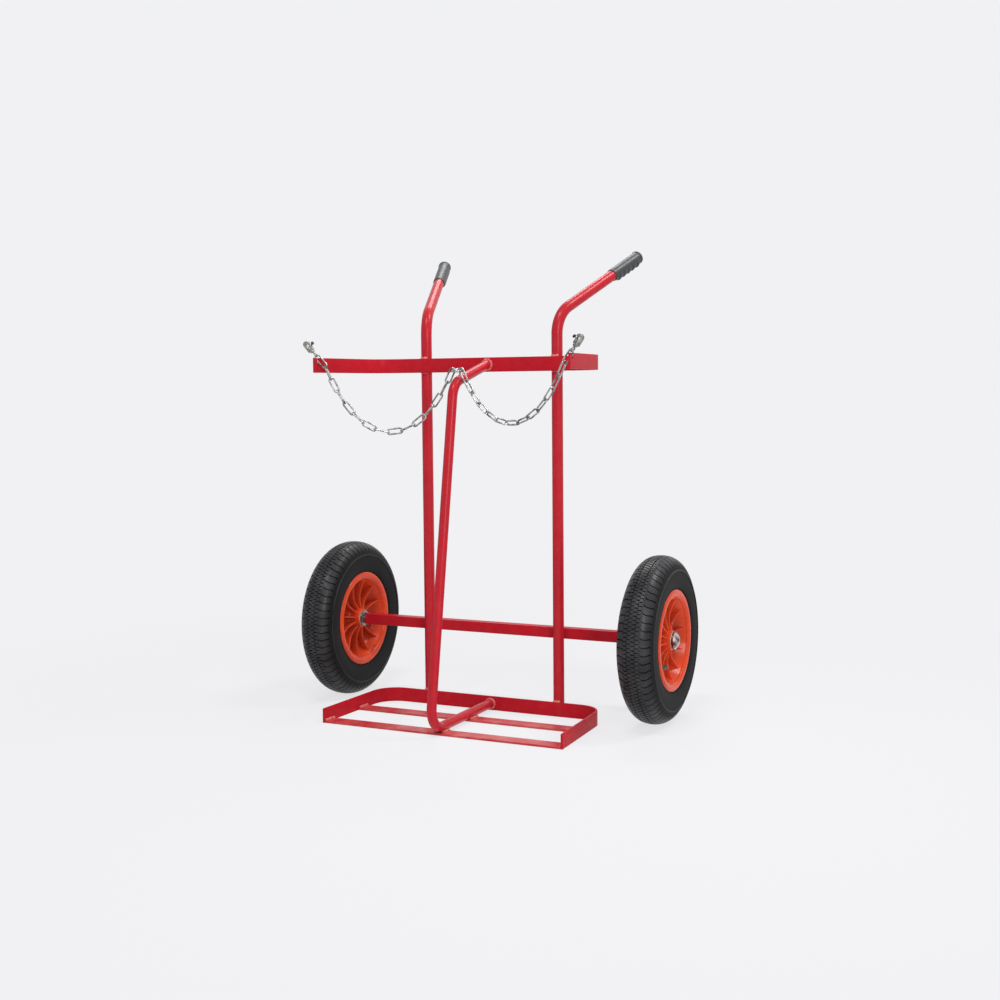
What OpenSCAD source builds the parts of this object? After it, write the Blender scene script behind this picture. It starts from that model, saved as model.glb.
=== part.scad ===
// Two-bay gas cylinder trolley: welded tube and flat-bar frame, two pneumatic wheels and
// two hanging chains that close the bays.
// Millimetres, +Z up, +X to the right; cylinders are loaded from the front, which is -Y.
// The ground is z = 0 and the origin lies under the middle of the whole trolley.

/* [Uprights and handles] */
// Outside diameter of the two upright tubes
upright_od = 27; // [22:0.5:32]
// Wall of the upright tubes
upright_wall = 2.6; // [1.5:0.1:4]
// Distance between the axes of the uprights
upright_spacing = 355; // [280:1:420]
// Height of the uprights' lower ends above the ground
upright_foot = 3; // [1:0.5:10]
// Height of the point where the handle's axis would meet the upright's axis
handle_bend_z = 972; // [920:1:1040]
// Centreline radius of the bend into the handle
handle_bend_r = 75; // [50:1:100]
// Length of a handle from that point to its end
handle_len = 342; // [260:1:400]
// Rise of the handles above the horizontal, in degrees
handle_rise = 26.6; // [10:0.1:45]
// Outward splay of the handles, in degrees
handle_splay = 18.7; // [0:0.1:30]

/* [Grips] */
// Length of a rubber grip
grip_len = 112; // [80:1:140]
// Diameter of a grip between its finger ridges
grip_d = 33; // [31:0.5:38]
// Thickness of the closed end of a grip
grip_end = 5; // [2:0.5:10]
// Number of finger ridges under a grip
grip_ridges = 5; // [3:1:6]
// Height of the finger ridges
grip_ridge_h = 3; // [1:0.5:5]

/* [Flat bars] */
// Height of the bent flat bars of the tray wall and the top bar
bar_h = 35; // [28:0.5:42]
// Thickness of all flat bars
bar_t = 5; // [3:0.5:8]
// Width of the flat bars in the tray floor
floor_bar_w = 40; // [30:1:50]

/* [Tray] */
// Half width of the tray at its back corners, on the bar's centreline
tray_half_back = 299; // [260:1:330]
// Half width of the tray at its open front ends
tray_half_front = 310; // [270:1:350]
// Depth of the tray from the back wall to its front edge
tray_depth = 281; // [250:1:320]
// Centreline radius of the tray's back corners
tray_corner_r = 60; // [30:1:90]
// Distance from the tray's front edge to the middle bar's front edge
floor_bar_pitch = 148; // [120:1:170]

/* [Top bar] */
// Height of the top bar's upper edge
top_bar_z = 873; // [820:1:900]
// Half width of the top bar at its back corners
wing_half_back = 306; // [270:1:330]
// Half width of the top bar at its free ends
wing_half_front = 327; // [280:1:350]
// Reach of the wings forward of the back run
wing_depth = 268; // [220:1:300]
// Centreline radius of the top bar's corners
wing_corner_r = 80; // [40:1:100]
// Distance of a chain slot from the wing's free end
slot_inset = 14; // [10:1:40]
// Width of a chain slot
slot_w = 7; // [6.5:0.1:9]

/* [Centre tube] */
// Outside diameter of the divider tube between the bays
divider_od = 23; // [20:0.5:27]
// Wall of the divider tube
divider_wall = 2.3; // [1.5:0.1:3.5]
// Centreline radius of the divider's two bends
divider_bend_r = 48; // [35:1:60]
// Reach of the upper bend forward of the uprights' axes
divider_top_reach = 199; // [160:1:230]
// Height of the divider's upper bend
divider_top_z = 809; // [760:1:830]
// Reach of the lower bend forward of the uprights' axes
divider_foot_reach = 334; // [312:1:360]

/* [Axle and wheels] */
// Outer diameter of the tyres
tyre_od = 400; // [380:1:430]
// Width of the tyres
tyre_w = 88; // [86:1:106]
// Thickness of a tyre's sidewall
tyre_wall = 7; // [5:0.5:9]
// Thickness of a tyre under its tread
tyre_crown = 12; // [9:0.5:15]
// Depth of the three grooves round the tread
groove_depth = 4; // [2:0.5:6]
// Distance between the middle planes of the wheels
track = 850; // [800:1:900]
// Diameter of the tyre's bead seat on the rim
bead_d = 203; // [196:1:210]
// Diameter over the rim's lips
rim_od = 243; // [236:1:250]
// Width over the rim's lips
rim_w = 79; // [74:1:84]
// Width of the flat ring round the dish of the rim
rim_lip = 17; // [12:0.5:20]
// Number of fins in each dish of the rim
rim_fins = 12; // [8:2:16]
// Thickness of a fin
fin_t = 4; // [2.5:0.5:6]
// Length of the hub over its two bushes
hub_len = 72; // [64:1:80]
// Diameter of the hub boss
hub_d = 48; // [44:1:60]
// Outside diameter of the bushes
bush_d = 26; // [24:0.5:30]
// Diameter of the axle rod
axle_d = 20; // [16:0.5:22]
// Outside size of the square axle beam
beam_size = 26; // [24:0.5:32]
// Length of the spacer between the beam and each wheel
spacer_len = 9; // [5:0.5:15]
// Outside diameter of the axle washers
washer_d = 40; // [30:0.5:42]
// Thickness of the axle washers
washer_t = 3; // [2:0.5:4]
// Turn of the left wheel as it stands, in degrees
left_turn = -9.5; // [-15:0.5:15]
// Turn of the right wheel as it stands, in degrees
right_turn = 8; // [-15:0.5:15]

/* [Chains] */
// Wire diameter of the chain
link_wire = 4; // [3:0.1:4.5]
// Inside length of a link
link_pitch = 33; // [28:0.5:36]
// Outside width of a link
link_w = 16; // [15:0.5:18]
// Links hanging in the left chain
left_links = 14; // [13:1:15]
// Links hanging in the right chain
right_links = 13; // [13:1:15]
// Slope of the last link and the snap hook at a slot, in degrees
snap_rise = 50; // [40:1:60]
// Travel of the snap hook's spring bolt
bolt_travel = 3.6; // [3:0.1:5]
// How far the left snap hook is turned on its swivel, in degrees
left_snap_turn = 22; // [-180:1:180]
// How far the right snap hook is turned on its swivel, in degrees
right_snap_turn = 0; // [-180:1:180]

/* [Clearances] */
// Room between a round tube and the flat it is welded to
weld_gap = 0.1; // [0.05:0.05:0.3]
// Room between pieces that touch loosely
loose_gap = 0.4; // [0.3:0.05:0.6]
// Radial room of a running fit
running_gap = 0.05; // [0.02:0.01:0.1]
// End play of a wheel on its axle, at each side
end_play = 0.3; // [0.2:0.05:0.6]

/* [Hidden] */
$fn = 96;
cut = 1;
// A bend is a hair fuller than the straights that run a little way into it
bend_swell = 0.2;
bend_lap = 1;
axle_z = tyre_od / 2;

// Places measured from the plane of the uprights' axes, before the shift to the origin
bar_y = -(upright_od / 2 + weld_gap + bar_t / 2);
bar_face_y = bar_y - bar_t / 2;
axle_y = upright_od / 2 + weld_gap + beam_size / 2;
handle_dir = [
    sin(handle_splay) * cos(handle_rise),
    cos(handle_splay) * cos(handle_rise),
    sin(handle_rise)
];
handle_vertex = [upright_spacing / 2, 0, handle_bend_z];
handle_tip = handle_vertex + handle_dir * handle_len;
grip_round = grip_d / 4;
divider_run_z = bar_t + weld_gap + (divider_od + bend_swell) / 2;
divider_points = [
    [0, bar_face_y, top_bar_z - bar_h / 2],
    [0, -divider_top_reach, divider_top_z],
    [0, -divider_foot_reach, divider_run_z],
    [0, bar_face_y, divider_run_z]
];

// The origin lies midway between the divider's foremost point and the grips' rearmost point
foot_dir = unit(divider_points[2] - divider_points[1]);
foot_side = unit([0, 1, 0] - foot_dir[1] * foot_dir);
foot_tangent = bend_tangent(divider_points, 2, divider_bend_r);
foot_centre = divider_points[2] - foot_dir * foot_tangent + foot_side * divider_bend_r;
front_y = foot_centre[1] - divider_bend_r - divider_od / 2;
grip_reach = handle_len + grip_end - grip_round;
grip_slant = sqrt(1 - handle_dir[1] * handle_dir[1]);
back_y = grip_reach * handle_dir[1] + (grip_d / 2 - grip_round) * grip_slant + grip_round;
origin_y = -(front_y + back_y) / 2;

// Wheel sizes
wheel_x = track / 2;
rim_half = rim_w / 2;
bead_r = bead_d / 2;
lip_r = rim_od / 2;
lip_t = 2.5;
hub_half = hub_len / 2;
bush_flange = 2;
bush_flange_d = hub_d - 10;
bush_len = 28;
web_t = 4;
dish_floor_r = bead_r - 12;
dish_mouth_r = lip_r - rim_lip;
flange_x = rim_half - lip_t;
bead_x = flange_x - running_gap;
bead_w = 12;
tyre_mid_r = lip_r + 35;
tyre_top_h = tyre_od / 2 - tyre_mid_r;
tyre_roundness = 2.3;
groove_w = 4;
groove_x = tyre_w / 6;
tube_wall = 2.5;
tube_room = 0.4;
valve_d = 8;
valve_base = 14;
valve_stem_d = 6;
valve_turn = 10.5 * 360 / rim_fins;
valve_x = 17;
// The stem runs from the rim towards the hub and bends outwards
valve_bend = 62;
valve_bend_r = 8;
valve_knee = [0, 0, 23];
valve_out = [sin(valve_bend), 0, cos(valve_bend)];
valve_end = 15;
cap_len = 14;
cap_d = 10;
cap_grip = 8;

// Axle stack, measured from the middle plane of the trolley
washer_x = wheel_x - hub_half - end_play - washer_t;
beam_half = washer_x - spacer_len;
outer_washer_x = wheel_x + hub_half + end_play;
axle_cap_x = outer_washer_x + washer_t;
axle_cap_d = 42;
axle_cap_rim = 2;
axle_cap_dome = 9.5;
axle_end = 7;
axle_half = axle_cap_x + axle_end;
beam_bore = axle_d + 2 * loose_gap;
spacer_d = axle_d + 9;

// Chain sizes
link_bow_r = (link_w - link_wire) / 2;
link_half = (link_pitch + link_wire) / 2;
link_step = link_pitch - loose_gap;
hook_gap = (link_wire + loose_gap) / 2;
wing_flare = flare(wing_half_back, wing_half_front, wing_depth);
slot_run = wing_depth / cos(wing_flare) - slot_inset;
slot_xy = [wing_half_back + slot_run * sin(wing_flare), bar_y - slot_run * cos(wing_flare)];
slot_depth = link_w / 2 / cos(snap_rise) + bar_t / 2 * tan(snap_rise) - link_wire / 2;

// Chain eye on the divider's upper leg: a flat ring on a short post behind it
eye_wire = 4.4;
eye_r = 12;
eye_room = 1.05;
eye_h = 14;
eye_post_d = 4;
eye_back = 26;
leg_dir = unit(divider_points[1] - divider_points[0]);
leg_up = [0, leg_dir[2], -leg_dir[1]];
eye_mid = divider_points[1] - leg_dir * eye_back + leg_up * (divider_od / 2 + eye_h);

// Ends of a right-hand chain: the last link and its snap lie across the slot, in line
eye_side = eye_mid + [eye_r, 0, 0];
outward = unit([slot_xy[0] - eye_side[0], slot_xy[1] - eye_side[1], 0]);
up = [0, 0, 1];
arrive_angle = 58;
snap_out = 1;
snap_dir = outward * cos(snap_rise) + up * sin(snap_rise);
snap_up = up * cos(snap_rise) - outward * sin(snap_rise);
snap_seat = [slot_xy[0], slot_xy[1], top_bar_z + link_wire / 2 + loose_gap] + snap_dir * snap_out;

// Snap hook sizes, measured along its own axis from the near side of its eye
snap_eye_r = 5.5;
snap_eye_wire = 3.2;
snap_neck_d = 4.2;
snap_rivet_d = 6.2;
snap_rivet_h = 1.8;
snap_collar_d = 11;
snap_collar_z = 2 * snap_eye_r + snap_eye_wire;
snap_rivet_z = snap_collar_z + 3.5;
snap_body_z = snap_rivet_z + snap_rivet_h + 2;
snap_half_w = 8.5;
snap_limb_w = 5.7;
snap_t = 7.6;
barrel_d = 8;
barrel_x = snap_half_w - barrel_d / 2 + 0.8;
barrel_sunk = 2.5;
bolt_d = 3.6;
bolt_bore = bolt_d + 2 * running_gap;
spring_room = 5;
barrel_floor_z = snap_body_z + 1.2;
bolt_tail_z = barrel_floor_z + spring_room + loose_gap;
barrel_top_z = bolt_tail_z + bolt_travel;
hook_tip_z = barrel_top_z + bolt_travel + loose_gap;
hook_bow_z = hook_tip_z + 2;
stud_d = 2.2;
stud_len = 8;
stud_head_d = 8;
stud_head_h = 3;
stud_z = barrel_top_z - stud_d / 2 - loose_gap;

// The chain's first and last points, where its end links bear
end_link_mid = (snap_eye_wire + link_wire) / 2 + loose_gap - link_half;
chain_start = snap_seat + snap_dir * (end_link_mid - link_half + hook_gap);
chain_end = eye_side
    + (up * sin(arrive_angle) - outward * cos(arrive_angle)) * (eye_wire / 2 + eye_room);

paint_red = "#b01622";
rim_orange = "#d5421f";
rubber_black = "#232325";
grip_grey = "#45484a";
zinc = "#b9bcbd";
bush_white = "#d9d6cc";

// Vectors and frames

function unit(v) = v / norm(v);

function side_of(d) = abs(d[2]) > 0.9 ? unit(cross([0, 1, 0], d)) : unit(cross([0, 0, 1], d));

// Puts children in a frame with its origin at p, its X along x and its Z along z
module frame_at(p, x, z) {
    y = cross(z, x);
    multmatrix([
        [x[0], y[0], z[0], p[0]],
        [x[1], y[1], z[1], p[1]],
        [x[2], y[2], z[2], p[2]],
        [0, 0, 0, 1]
    ])
        children();
}

// Moves a piece from the uprights' plane to the part's own origin
module placed() {
    translate([0, origin_y, 0])
        children();
}

// Makes a right-hand piece, or its mirror image for the left
module on_side(side) {
    placed()
        mirror([side < 0 ? 1 : 0, 0, 0])
            children();
}

// Bent round bars and tubes

function bend_turn(p, i) = acos(unit(p[i] - p[i - 1]) * unit(p[i + 1] - p[i]));

function bend_tangent(p, i, r) = r * tan(bend_turn(p, i) / 2);

// Solid round bar through the points p, bent to the centreline radius r at each inner point
module round_run(p, r, d) {
    last = len(p) - 1;
    for (i = [0 : last - 1]) {
        dir = unit(p[i + 1] - p[i]);
        from = i == 0 ? 0 : bend_tangent(p, i, r) - bend_lap;
        to = norm(p[i + 1] - p[i]) - (i == last - 1 ? 0 : bend_tangent(p, i + 1, r) - bend_lap);
        frame_at(p[i] + dir * from, side_of(dir), dir)
            cylinder(d = d, h = to - from);
    }
    for (i = [1 : 1 : last - 1]) {
        dir = unit(p[i] - p[i - 1]);
        next = unit(p[i + 1] - p[i]);
        inward = unit(next - (next * dir) * dir);
        frame_at(p[i] - dir * bend_tangent(p, i, r) + inward * r, -inward, cross(-inward, dir))
            rotate_extrude(angle = bend_turn(p, i))
                translate([r, 0])
                    circle(d = d + bend_swell);
    }
}

// The points p with both ends drawn out by a length, for a bore that cuts right through
function drawn_out(p, by) = [
    for (i = [0 : len(p) - 1])
        i == 0 ? p[0] - unit(p[1] - p[0]) * by
        : i == len(p) - 1 ? p[i] + unit(p[i] - p[i - 1]) * by
        : p[i]
];

module bent_tube(p, r, d, wall) {
    difference() {
        round_run(p, r, d);
        round_run(drawn_out(p, cut), r, d - 2 * wall);
    }
}

// Flat bar bent on edge into a U that opens to the front, its back run along y = 0

function flare(half_back, half_front, depth) = atan2(half_front - half_back, depth);

module flat_u(half_back, half_front, depth, r) {
    lean = flare(half_back, half_front, depth);
    turn = 90 - lean;
    tangent = r * tan(turn / 2);
    back = half_back - tangent;
    bend_t = bar_t + bend_swell;
    reach = 2 * r;
    linear_extrude(bar_h) {
        translate([-back - bend_lap, -bar_t / 2])
            square([2 * (back + bend_lap), bar_t]);
        for (s = [0, 1])
            mirror([s, 0, 0]) {
                translate([back, -r])
                    intersection() {
                        difference() {
                            circle(r = r + bend_t / 2);
                            circle(r = r - bend_t / 2);
                        }
                        polygon([[0, 0], [reach * cos(lean), reach * sin(lean)], [reach, reach], [0, reach]]);
                    }
                translate([half_back, 0])
                    rotate(-turn)
                        translate([tangent - bend_lap, -bar_t / 2])
                            square([depth / cos(lean) - tangent + bend_lap, bar_t]);
            }
    }
}

// Frame pieces

module upright(side) {
    foot = [upright_spacing / 2, 0, upright_foot];
    color(paint_red)
        on_side(side)
            bent_tube([foot, handle_vertex, handle_tip], handle_bend_r, upright_od, upright_wall);
}

module grip(side) {
    bore = upright_od + 2 * weld_gap;
    total = grip_len + grip_end;
    start = handle_tip - handle_dir * grip_len;
    ridge_pitch = (grip_len - grip_round) / grip_ridges;
    ridge_w = ridge_pitch * 0.5;
    across = side_of(handle_dir);
    color(grip_grey)
        on_side(side)
            frame_at(start, across, handle_dir)
                difference() {
                    union() {
                        rotate_extrude() {
                            square([grip_d / 2 - grip_round, total]);
                            square([grip_d / 2, total - grip_round]);
                            translate([grip_d / 2 - grip_round, total - grip_round])
                                intersection() {
                                    circle(r = grip_round);
                                    square(grip_round);
                                }
                        }
                        for (i = [0 : grip_ridges - 1])
                            translate([0, -grip_ridge_h, (i + 0.5) * ridge_pitch - ridge_w / 2])
                                cylinder(d = grip_d - 1, h = ridge_w);
                    }
                    translate([0, 0, -cut])
                        cylinder(d = bore, h = grip_len + cut);
                }
}

module top_bar() {
    color(paint_red)
        placed()
            difference() {
                translate([0, bar_y, top_bar_z - bar_h])
                    flat_u(wing_half_back, wing_half_front, wing_depth, wing_corner_r);
                for (s = [0, 1])
                    mirror([s, 0, 0])
                        translate([slot_xy[0], slot_xy[1], top_bar_z - slot_depth])
                            rotate([0, 0, wing_flare])
                                translate([-bar_t, -slot_w / 2, 0])
                                    cube([2 * bar_t, slot_w, slot_depth + cut]);
            }
}

module tray_wall() {
    color(paint_red)
        placed()
            translate([0, bar_y, 0])
                flat_u(tray_half_back, tray_half_front, tray_depth, tray_corner_r);
}

// A floor bar ends on the inner faces of the tray's flared walls
module floor_bar(front) {
    lean = flare(tray_half_back, tray_half_front, tray_depth);
    inner_back = tray_half_back - bar_t / 2 / cos(lean);
    near = inner_back + front * tan(lean);
    far = inner_back + (front - floor_bar_w) * tan(lean);
    color(paint_red)
        placed()
            translate([0, bar_y, 0])
                linear_extrude(bar_t)
                    polygon([
                        [-near, -front], [near, -front],
                        [far, floor_bar_w - front], [-far, floor_bar_w - front]
                    ]);
}

module tray_front_bar() {
    floor_bar(tray_depth);
}

module tray_middle_bar() {
    floor_bar(tray_depth - floor_bar_pitch);
}

// The divider's ends are cut flush to the front faces of the two bars
module centre_tube() {
    p = drawn_out(divider_points, divider_od);
    color(paint_red)
        placed()
            difference() {
                bent_tube(p, divider_bend_r, divider_od, divider_wall);
                translate([-divider_od, bar_face_y, -divider_od])
                    cube([2 * divider_od, 3 * divider_od, top_bar_z + 2 * divider_od]);
            }
}

module chain_eye() {
    sunk = 2;
    reach = 2 * eye_r;
    color(zinc)
        placed()
            frame_at(eye_mid, [1, 0, 0], leg_up)
                difference() {
                    union() {
                        rotate_extrude()
                            translate([eye_r, 0])
                                circle(d = eye_wire);
                        translate([0, eye_r, -eye_h - sunk])
                            cylinder(d = eye_post_d, h = eye_h + sunk);
                    }
                    translate([0, -reach, -eye_h - divider_od / 2])
                        rotate([-90, 0, 0])
                            cylinder(d = divider_od + 2 * weld_gap, h = 2 * reach);
                }
}

// Axle pieces

module axle_beam() {
    color(paint_red)
        placed()
            translate([-beam_half, axle_y, axle_z])
                difference() {
                    translate([0, -beam_size / 2, -beam_size / 2])
                        cube([2 * beam_half, beam_size, beam_size]);
                    translate([-cut, -beam_bore / 2, -beam_bore / 2])
                        cube([2 * (beam_half + cut), beam_bore, beam_bore]);
                }
}

// Puts children on the axle, their Z along +X
module on_axle(x) {
    translate([x, axle_y, axle_z])
        rotate([0, 90, 0])
            children();
}

module ring(d, bore, h) {
    difference() {
        cylinder(d = d, h = h);
        translate([0, 0, -cut])
            cylinder(d = bore, h = h + 2 * cut);
    }
}

module axle_rod() {
    chamfer = 1.5;
    color(zinc)
        placed()
            on_axle(-axle_half)
                rotate_extrude()
                    polygon([
                        [0, 0], [axle_d / 2 - chamfer, 0], [axle_d / 2, chamfer],
                        [axle_d / 2, 2 * axle_half - chamfer],
                        [axle_d / 2 - chamfer, 2 * axle_half], [0, 2 * axle_half]
                    ]);
}

module axle_rings(x, d, h) {
    color(zinc)
        for (side = [-1, 1])
            on_side(side)
                on_axle(x)
                    ring(d, axle_d + 2 * running_gap, h);
}

module axle_spacers() {
    axle_rings(beam_half, spacer_d, spacer_len);
}

module inner_washers() {
    axle_rings(washer_x, washer_d, washer_t);
}

module outer_washers() {
    axle_rings(outer_washer_x, washer_d, washer_t);
}

// Domed push-on cap that keeps a wheel on the axle
module axle_cap(side) {
    foot_r = axle_cap_d / 2 - 1.5;
    dome_r = (foot_r * foot_r + axle_cap_dome * axle_cap_dome) / (2 * axle_cap_dome);
    bore = axle_d + 2 * running_gap;
    color(zinc)
        on_side(side)
            on_axle(axle_cap_x)
                rotate_extrude()
                    difference() {
                        union() {
                            square([axle_cap_d / 2, axle_cap_rim]);
                            intersection() {
                                translate([0, axle_cap_rim + axle_cap_dome - dome_r])
                                    circle(r = dome_r);
                                square([dome_r, 2 * dome_r]);
                            }
                        }
                        translate([0, -cut])
                            square([bore / 2, axle_end + loose_gap + cut]);
                    }
}

// Wheel pieces

function signed_power(v, e) = sign(v) * pow(abs(v), e);

// Half of a tyre section from the crown to the rim's lip: [radius, distance from mid-plane]
function half_section(half_w, top_h, foot_x, foot_r) = concat(
    [for (a = [90 : -9 : 0]) [
        tyre_mid_r + top_h * signed_power(sin(a), 2 / tyre_roundness),
        half_w * signed_power(cos(a), 2 / tyre_roundness)
    ]],
    [for (a = [15 : 15 : 90]) [
        tyre_mid_r - (tyre_mid_r - foot_r) * sin(a),
        foot_x + (half_w - foot_x) * cos(a)
    ]]
);

function flipped(p) = [for (i = [len(p) - 1 : -1 : 0]) [p[i][0], -p[i][1]]];

// A half section joined to its mirror image, without a second point on the crown
function whole_section(p) = concat(flipped([for (i = [1 : len(p) - 1]) p[i]]), p);

function backwards(p) = [for (i = [len(p) - 1 : -1 : 0]) p[i]];

tyre_outside = concat(
    half_section(tyre_w / 2, tyre_top_h, bead_x, lip_r + 1),
    [[bead_r + 1, bead_x], [bead_r + running_gap, bead_x - 1]]
);

function tyre_inside(inset) = concat(
    half_section(
        tyre_w / 2 - tyre_wall - inset,
        tyre_top_h - tyre_crown - inset,
        bead_x - tyre_wall - inset,
        lip_r + 1
    ),
    [[bead_r + 10, bead_x - bead_w - inset]]
);

module on_wheel(side) {
    on_side(side)
        on_axle(wheel_x)
            rotate([0, 0, side < 0 ? left_turn : right_turn])
                children();
}

module tyre(side) {
    toe = [[bead_r + running_gap, bead_x - bead_w]];
    outside = whole_section(tyre_outside);
    inside = whole_section(concat(tyre_inside(0), toe));
    color(rubber_black)
        on_wheel(side)
            difference() {
                rotate_extrude()
                    polygon(concat(outside, backwards(inside)));
                for (x = [-groove_x, 0, groove_x])
                    translate([0, 0, x - groove_w / 2])
                        rotate_extrude()
                            translate([tyre_od / 2 - groove_depth, 0])
                                square([2 * groove_depth, groove_w]);
            }
}

module inner_tube(side) {
    seat = bead_r + tube_room;
    outside = concat(tyre_inside(tube_room), [[seat, bead_x - bead_w - 2]]);
    inside = concat(
        tyre_inside(tube_room + tube_wall),
        [[seat + tube_wall, bead_x - bead_w - 2 - tube_wall]]
    );
    color(rubber_black)
        on_wheel(side)
            rotate_extrude()
                difference() {
                    polygon(whole_section(outside));
                    polygon(whole_section(inside));
                }
}

// The fins' upper edge sags between the hub and the rim: [radius, distance from mid-plane]
function fin_edge(r0, r1) = [
    for (i = [0 : 8])
        let (s = i / 8)
            [r0 + (r1 - r0) * s, hub_half - 5 - 15 * sin(180 * s) * (1 - 0.35 * s)]
];

module valve_axis() {
    rotate([0, 0, valve_turn])
        translate([bead_r + tube_room, 0, valve_x])
            rotate([0, -90, 0])
                children();
}

// One of the two halves that meet on the wheel's middle plane
module rim_half_solid() {
    fin_in = hub_d / 2 - 4;
    fin_out = bead_r - 0.5;
    rotate_extrude()
        polygon([
            [bush_d / 2 + running_gap, 0], [bead_r, 0], [bead_r, flange_x],
            [lip_r - lip_t, flange_x], [lip_r, flange_x + lip_t / 2],
            [lip_r - lip_t / 2, rim_half],
            [dish_mouth_r + 1, rim_half], [dish_mouth_r - 1, rim_half - 2],
            [dish_floor_r, web_t + 6], [dish_floor_r - 5, web_t],
            [hub_d / 2 + 5, web_t], [hub_d / 2, web_t + 6],
            [hub_d / 2, hub_half - bush_flange - running_gap],
            [bush_d / 2 + running_gap, hub_half - bush_flange - running_gap]
        ]);
    for (i = [0 : rim_fins - 1])
        rotate([90, 0, i * 360 / rim_fins])
            translate([0, 0, -fin_t / 2])
                linear_extrude(fin_t)
                    polygon(concat(
                        [[fin_out, web_t - 2], [fin_in, web_t - 2]],
                        fin_edge(fin_in, fin_out)
                    ));
}

module rim_outer_half(side) {
    color(rim_orange)
        on_wheel(side)
            difference() {
                rim_half_solid();
                valve_axis()
                    translate([0, 0, -cut])
                        cylinder(d = valve_d + 2 * running_gap, h = valve_base + cut);
            }
}

module rim_inner_half(side) {
    color(rim_orange)
        on_wheel(side)
            rotate([180, 0, 0])
                rim_half_solid();
}

// Flanged bush pressed into the hub from the side that sign gives
module bush(side, sign) {
    color(bush_white)
        on_wheel(side)
            rotate([sign > 0 ? 0 : 180, 0, 0])
                difference() {
                    union() {
                        translate([0, 0, hub_half - bush_flange])
                            cylinder(d = bush_flange_d, h = bush_flange);
                        translate([0, 0, hub_half - bush_len])
                            cylinder(d = bush_d, h = bush_len);
                    }
                    cylinder(d = axle_d + 2 * running_gap, h = hub_half + cut);
                }
}

module valve(side) {
    color(zinc)
        on_wheel(side)
            valve_axis() {
                cylinder(d = valve_d, h = valve_base);
                round_run([[0, 0, 0], valve_knee, valve_knee + valve_out * valve_end], valve_bend_r, valve_stem_d);
            }
}

module valve_cap(side) {
    bore = valve_stem_d + 2 * running_gap;
    color(rubber_black)
        on_wheel(side)
            valve_axis()
                frame_at(valve_knee + valve_out * (valve_end - cap_grip), side_of(valve_out), valve_out)
                    difference() {
                        cylinder(d = cap_d, h = cap_len);
                        translate([0, 0, -cut])
                            cylinder(d = bore, h = cap_grip + loose_gap + cut);
                    }
}

// Chain links

// One welded link, its length along Z and its width along X
module link() {
    straight = link_half - link_bow_r;
    for (s = [-1, 1]) {
        translate([s * link_bow_r, 0, -straight])
            cylinder(d = link_wire, h = 2 * straight);
        mirror([0, 0, s < 0 ? 1 : 0])
            translate([0, 0, straight])
                rotate([90, 0, 0])
                    rotate_extrude(angle = 180)
                        translate([link_bow_r, 0])
                            circle(d = link_wire);
    }
}

// A hanging chain of equal links: the tangent of each link's slope grows by one even step
function slope(first, step, i) = atan(first + step * i);

function chain_rise(first, step, n) = sum([for (i = [0 : n - 1]) link_step * sin(slope(first, step, i))]);

function chain_span(first, step, n) = sum([for (i = [0 : n - 1]) link_step * cos(slope(first, step, i))]);

function sum(v, i = 0) = i == len(v) ? 0 : v[i] + sum(v, i + 1);

// First slope at which n links rise by the given height, found by halving
function first_slope(step, n, rise, low = -40, high = 10, left = 34) =
    let (mid = (low + high) / 2)
        left == 0 ? mid
        : chain_rise(mid, step, n) > rise ? first_slope(step, n, rise, low, mid, left - 1)
        : first_slope(step, n, rise, mid, high, left - 1);

// Step of the slope at which n links also reach across the given span
function slope_step(n, rise, span, low = 0.001, high = 4, left = 34) =
    let (mid = (low + high) / 2, first = first_slope(mid, n, rise))
        left == 0 ? mid
        : chain_span(first, mid, n) < span ? slope_step(n, rise, span, low, mid, left - 1)
        : slope_step(n, rise, span, mid, high, left - 1);

function span_to(first, step, i) = i == 0 ? 0 : chain_span(first, step, i);

function rise_to(first, step, i) = i == 0 ? 0 : chain_rise(first, step, i);

// Turn of a link about the chain, from upright; an odd chain twists so that its last link is upright too
function link_roll(i, n) = 90 * (i + 1) * (1 + (n % 2) / n);

module chain(side, n) {
    span = norm([chain_end[0] - chain_start[0], chain_end[1] - chain_start[1]]);
    rise = chain_end[2] - chain_start[2];
    step = slope_step(n, rise, span);
    first = first_slope(step, n, rise);
    color(zinc)
        on_side(side)
            for (i = [0 : n - 1]) {
                a = slope(first, step, i);
                along = up * sin(a) - outward * cos(a);
                normal = up * cos(a) + outward * sin(a);
                mid = chain_start - outward * (span_to(first, step, i) + link_step / 2 * cos(a))
                    + up * (rise_to(first, step, i) + link_step / 2 * sin(a));
                roll = link_roll(i, n);
                frame_at(mid, normal * cos(roll) + cross(along, normal) * sin(roll), along)
                    link();
            }
}

// Puts children on a snap hook's axis: Z away from the chain, X up and towards the bay
module on_snap(side) {
    on_side(side)
        frame_at(snap_seat, snap_up, snap_dir)
            children();
}

// Puts children on a snap hook's swivel, turned with the hook
module on_swivel(side) {
    on_snap(side)
        rotate([0, 0, side < 0 ? left_snap_turn : right_snap_turn])
            children();
}

module end_link(side) {
    color(zinc)
        on_snap(side)
            translate([0, 0, end_link_mid])
                link();
}

// Snap hook pieces

module snap_eye(side) {
    color(zinc)
        on_snap(side) {
            translate([0, 0, snap_eye_r])
                rotate([0, 90, 0])
                    rotate_extrude()
                        translate([snap_eye_r, 0])
                            circle(d = snap_eye_wire);
            translate([0, 0, 2 * snap_eye_r])
                cylinder(d = snap_neck_d, h = snap_rivet_z - 2 * snap_eye_r + loose_gap);
            translate([0, 0, snap_rivet_z + loose_gap])
                cylinder(d = snap_rivet_d, h = snap_rivet_h);
        }
}

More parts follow.
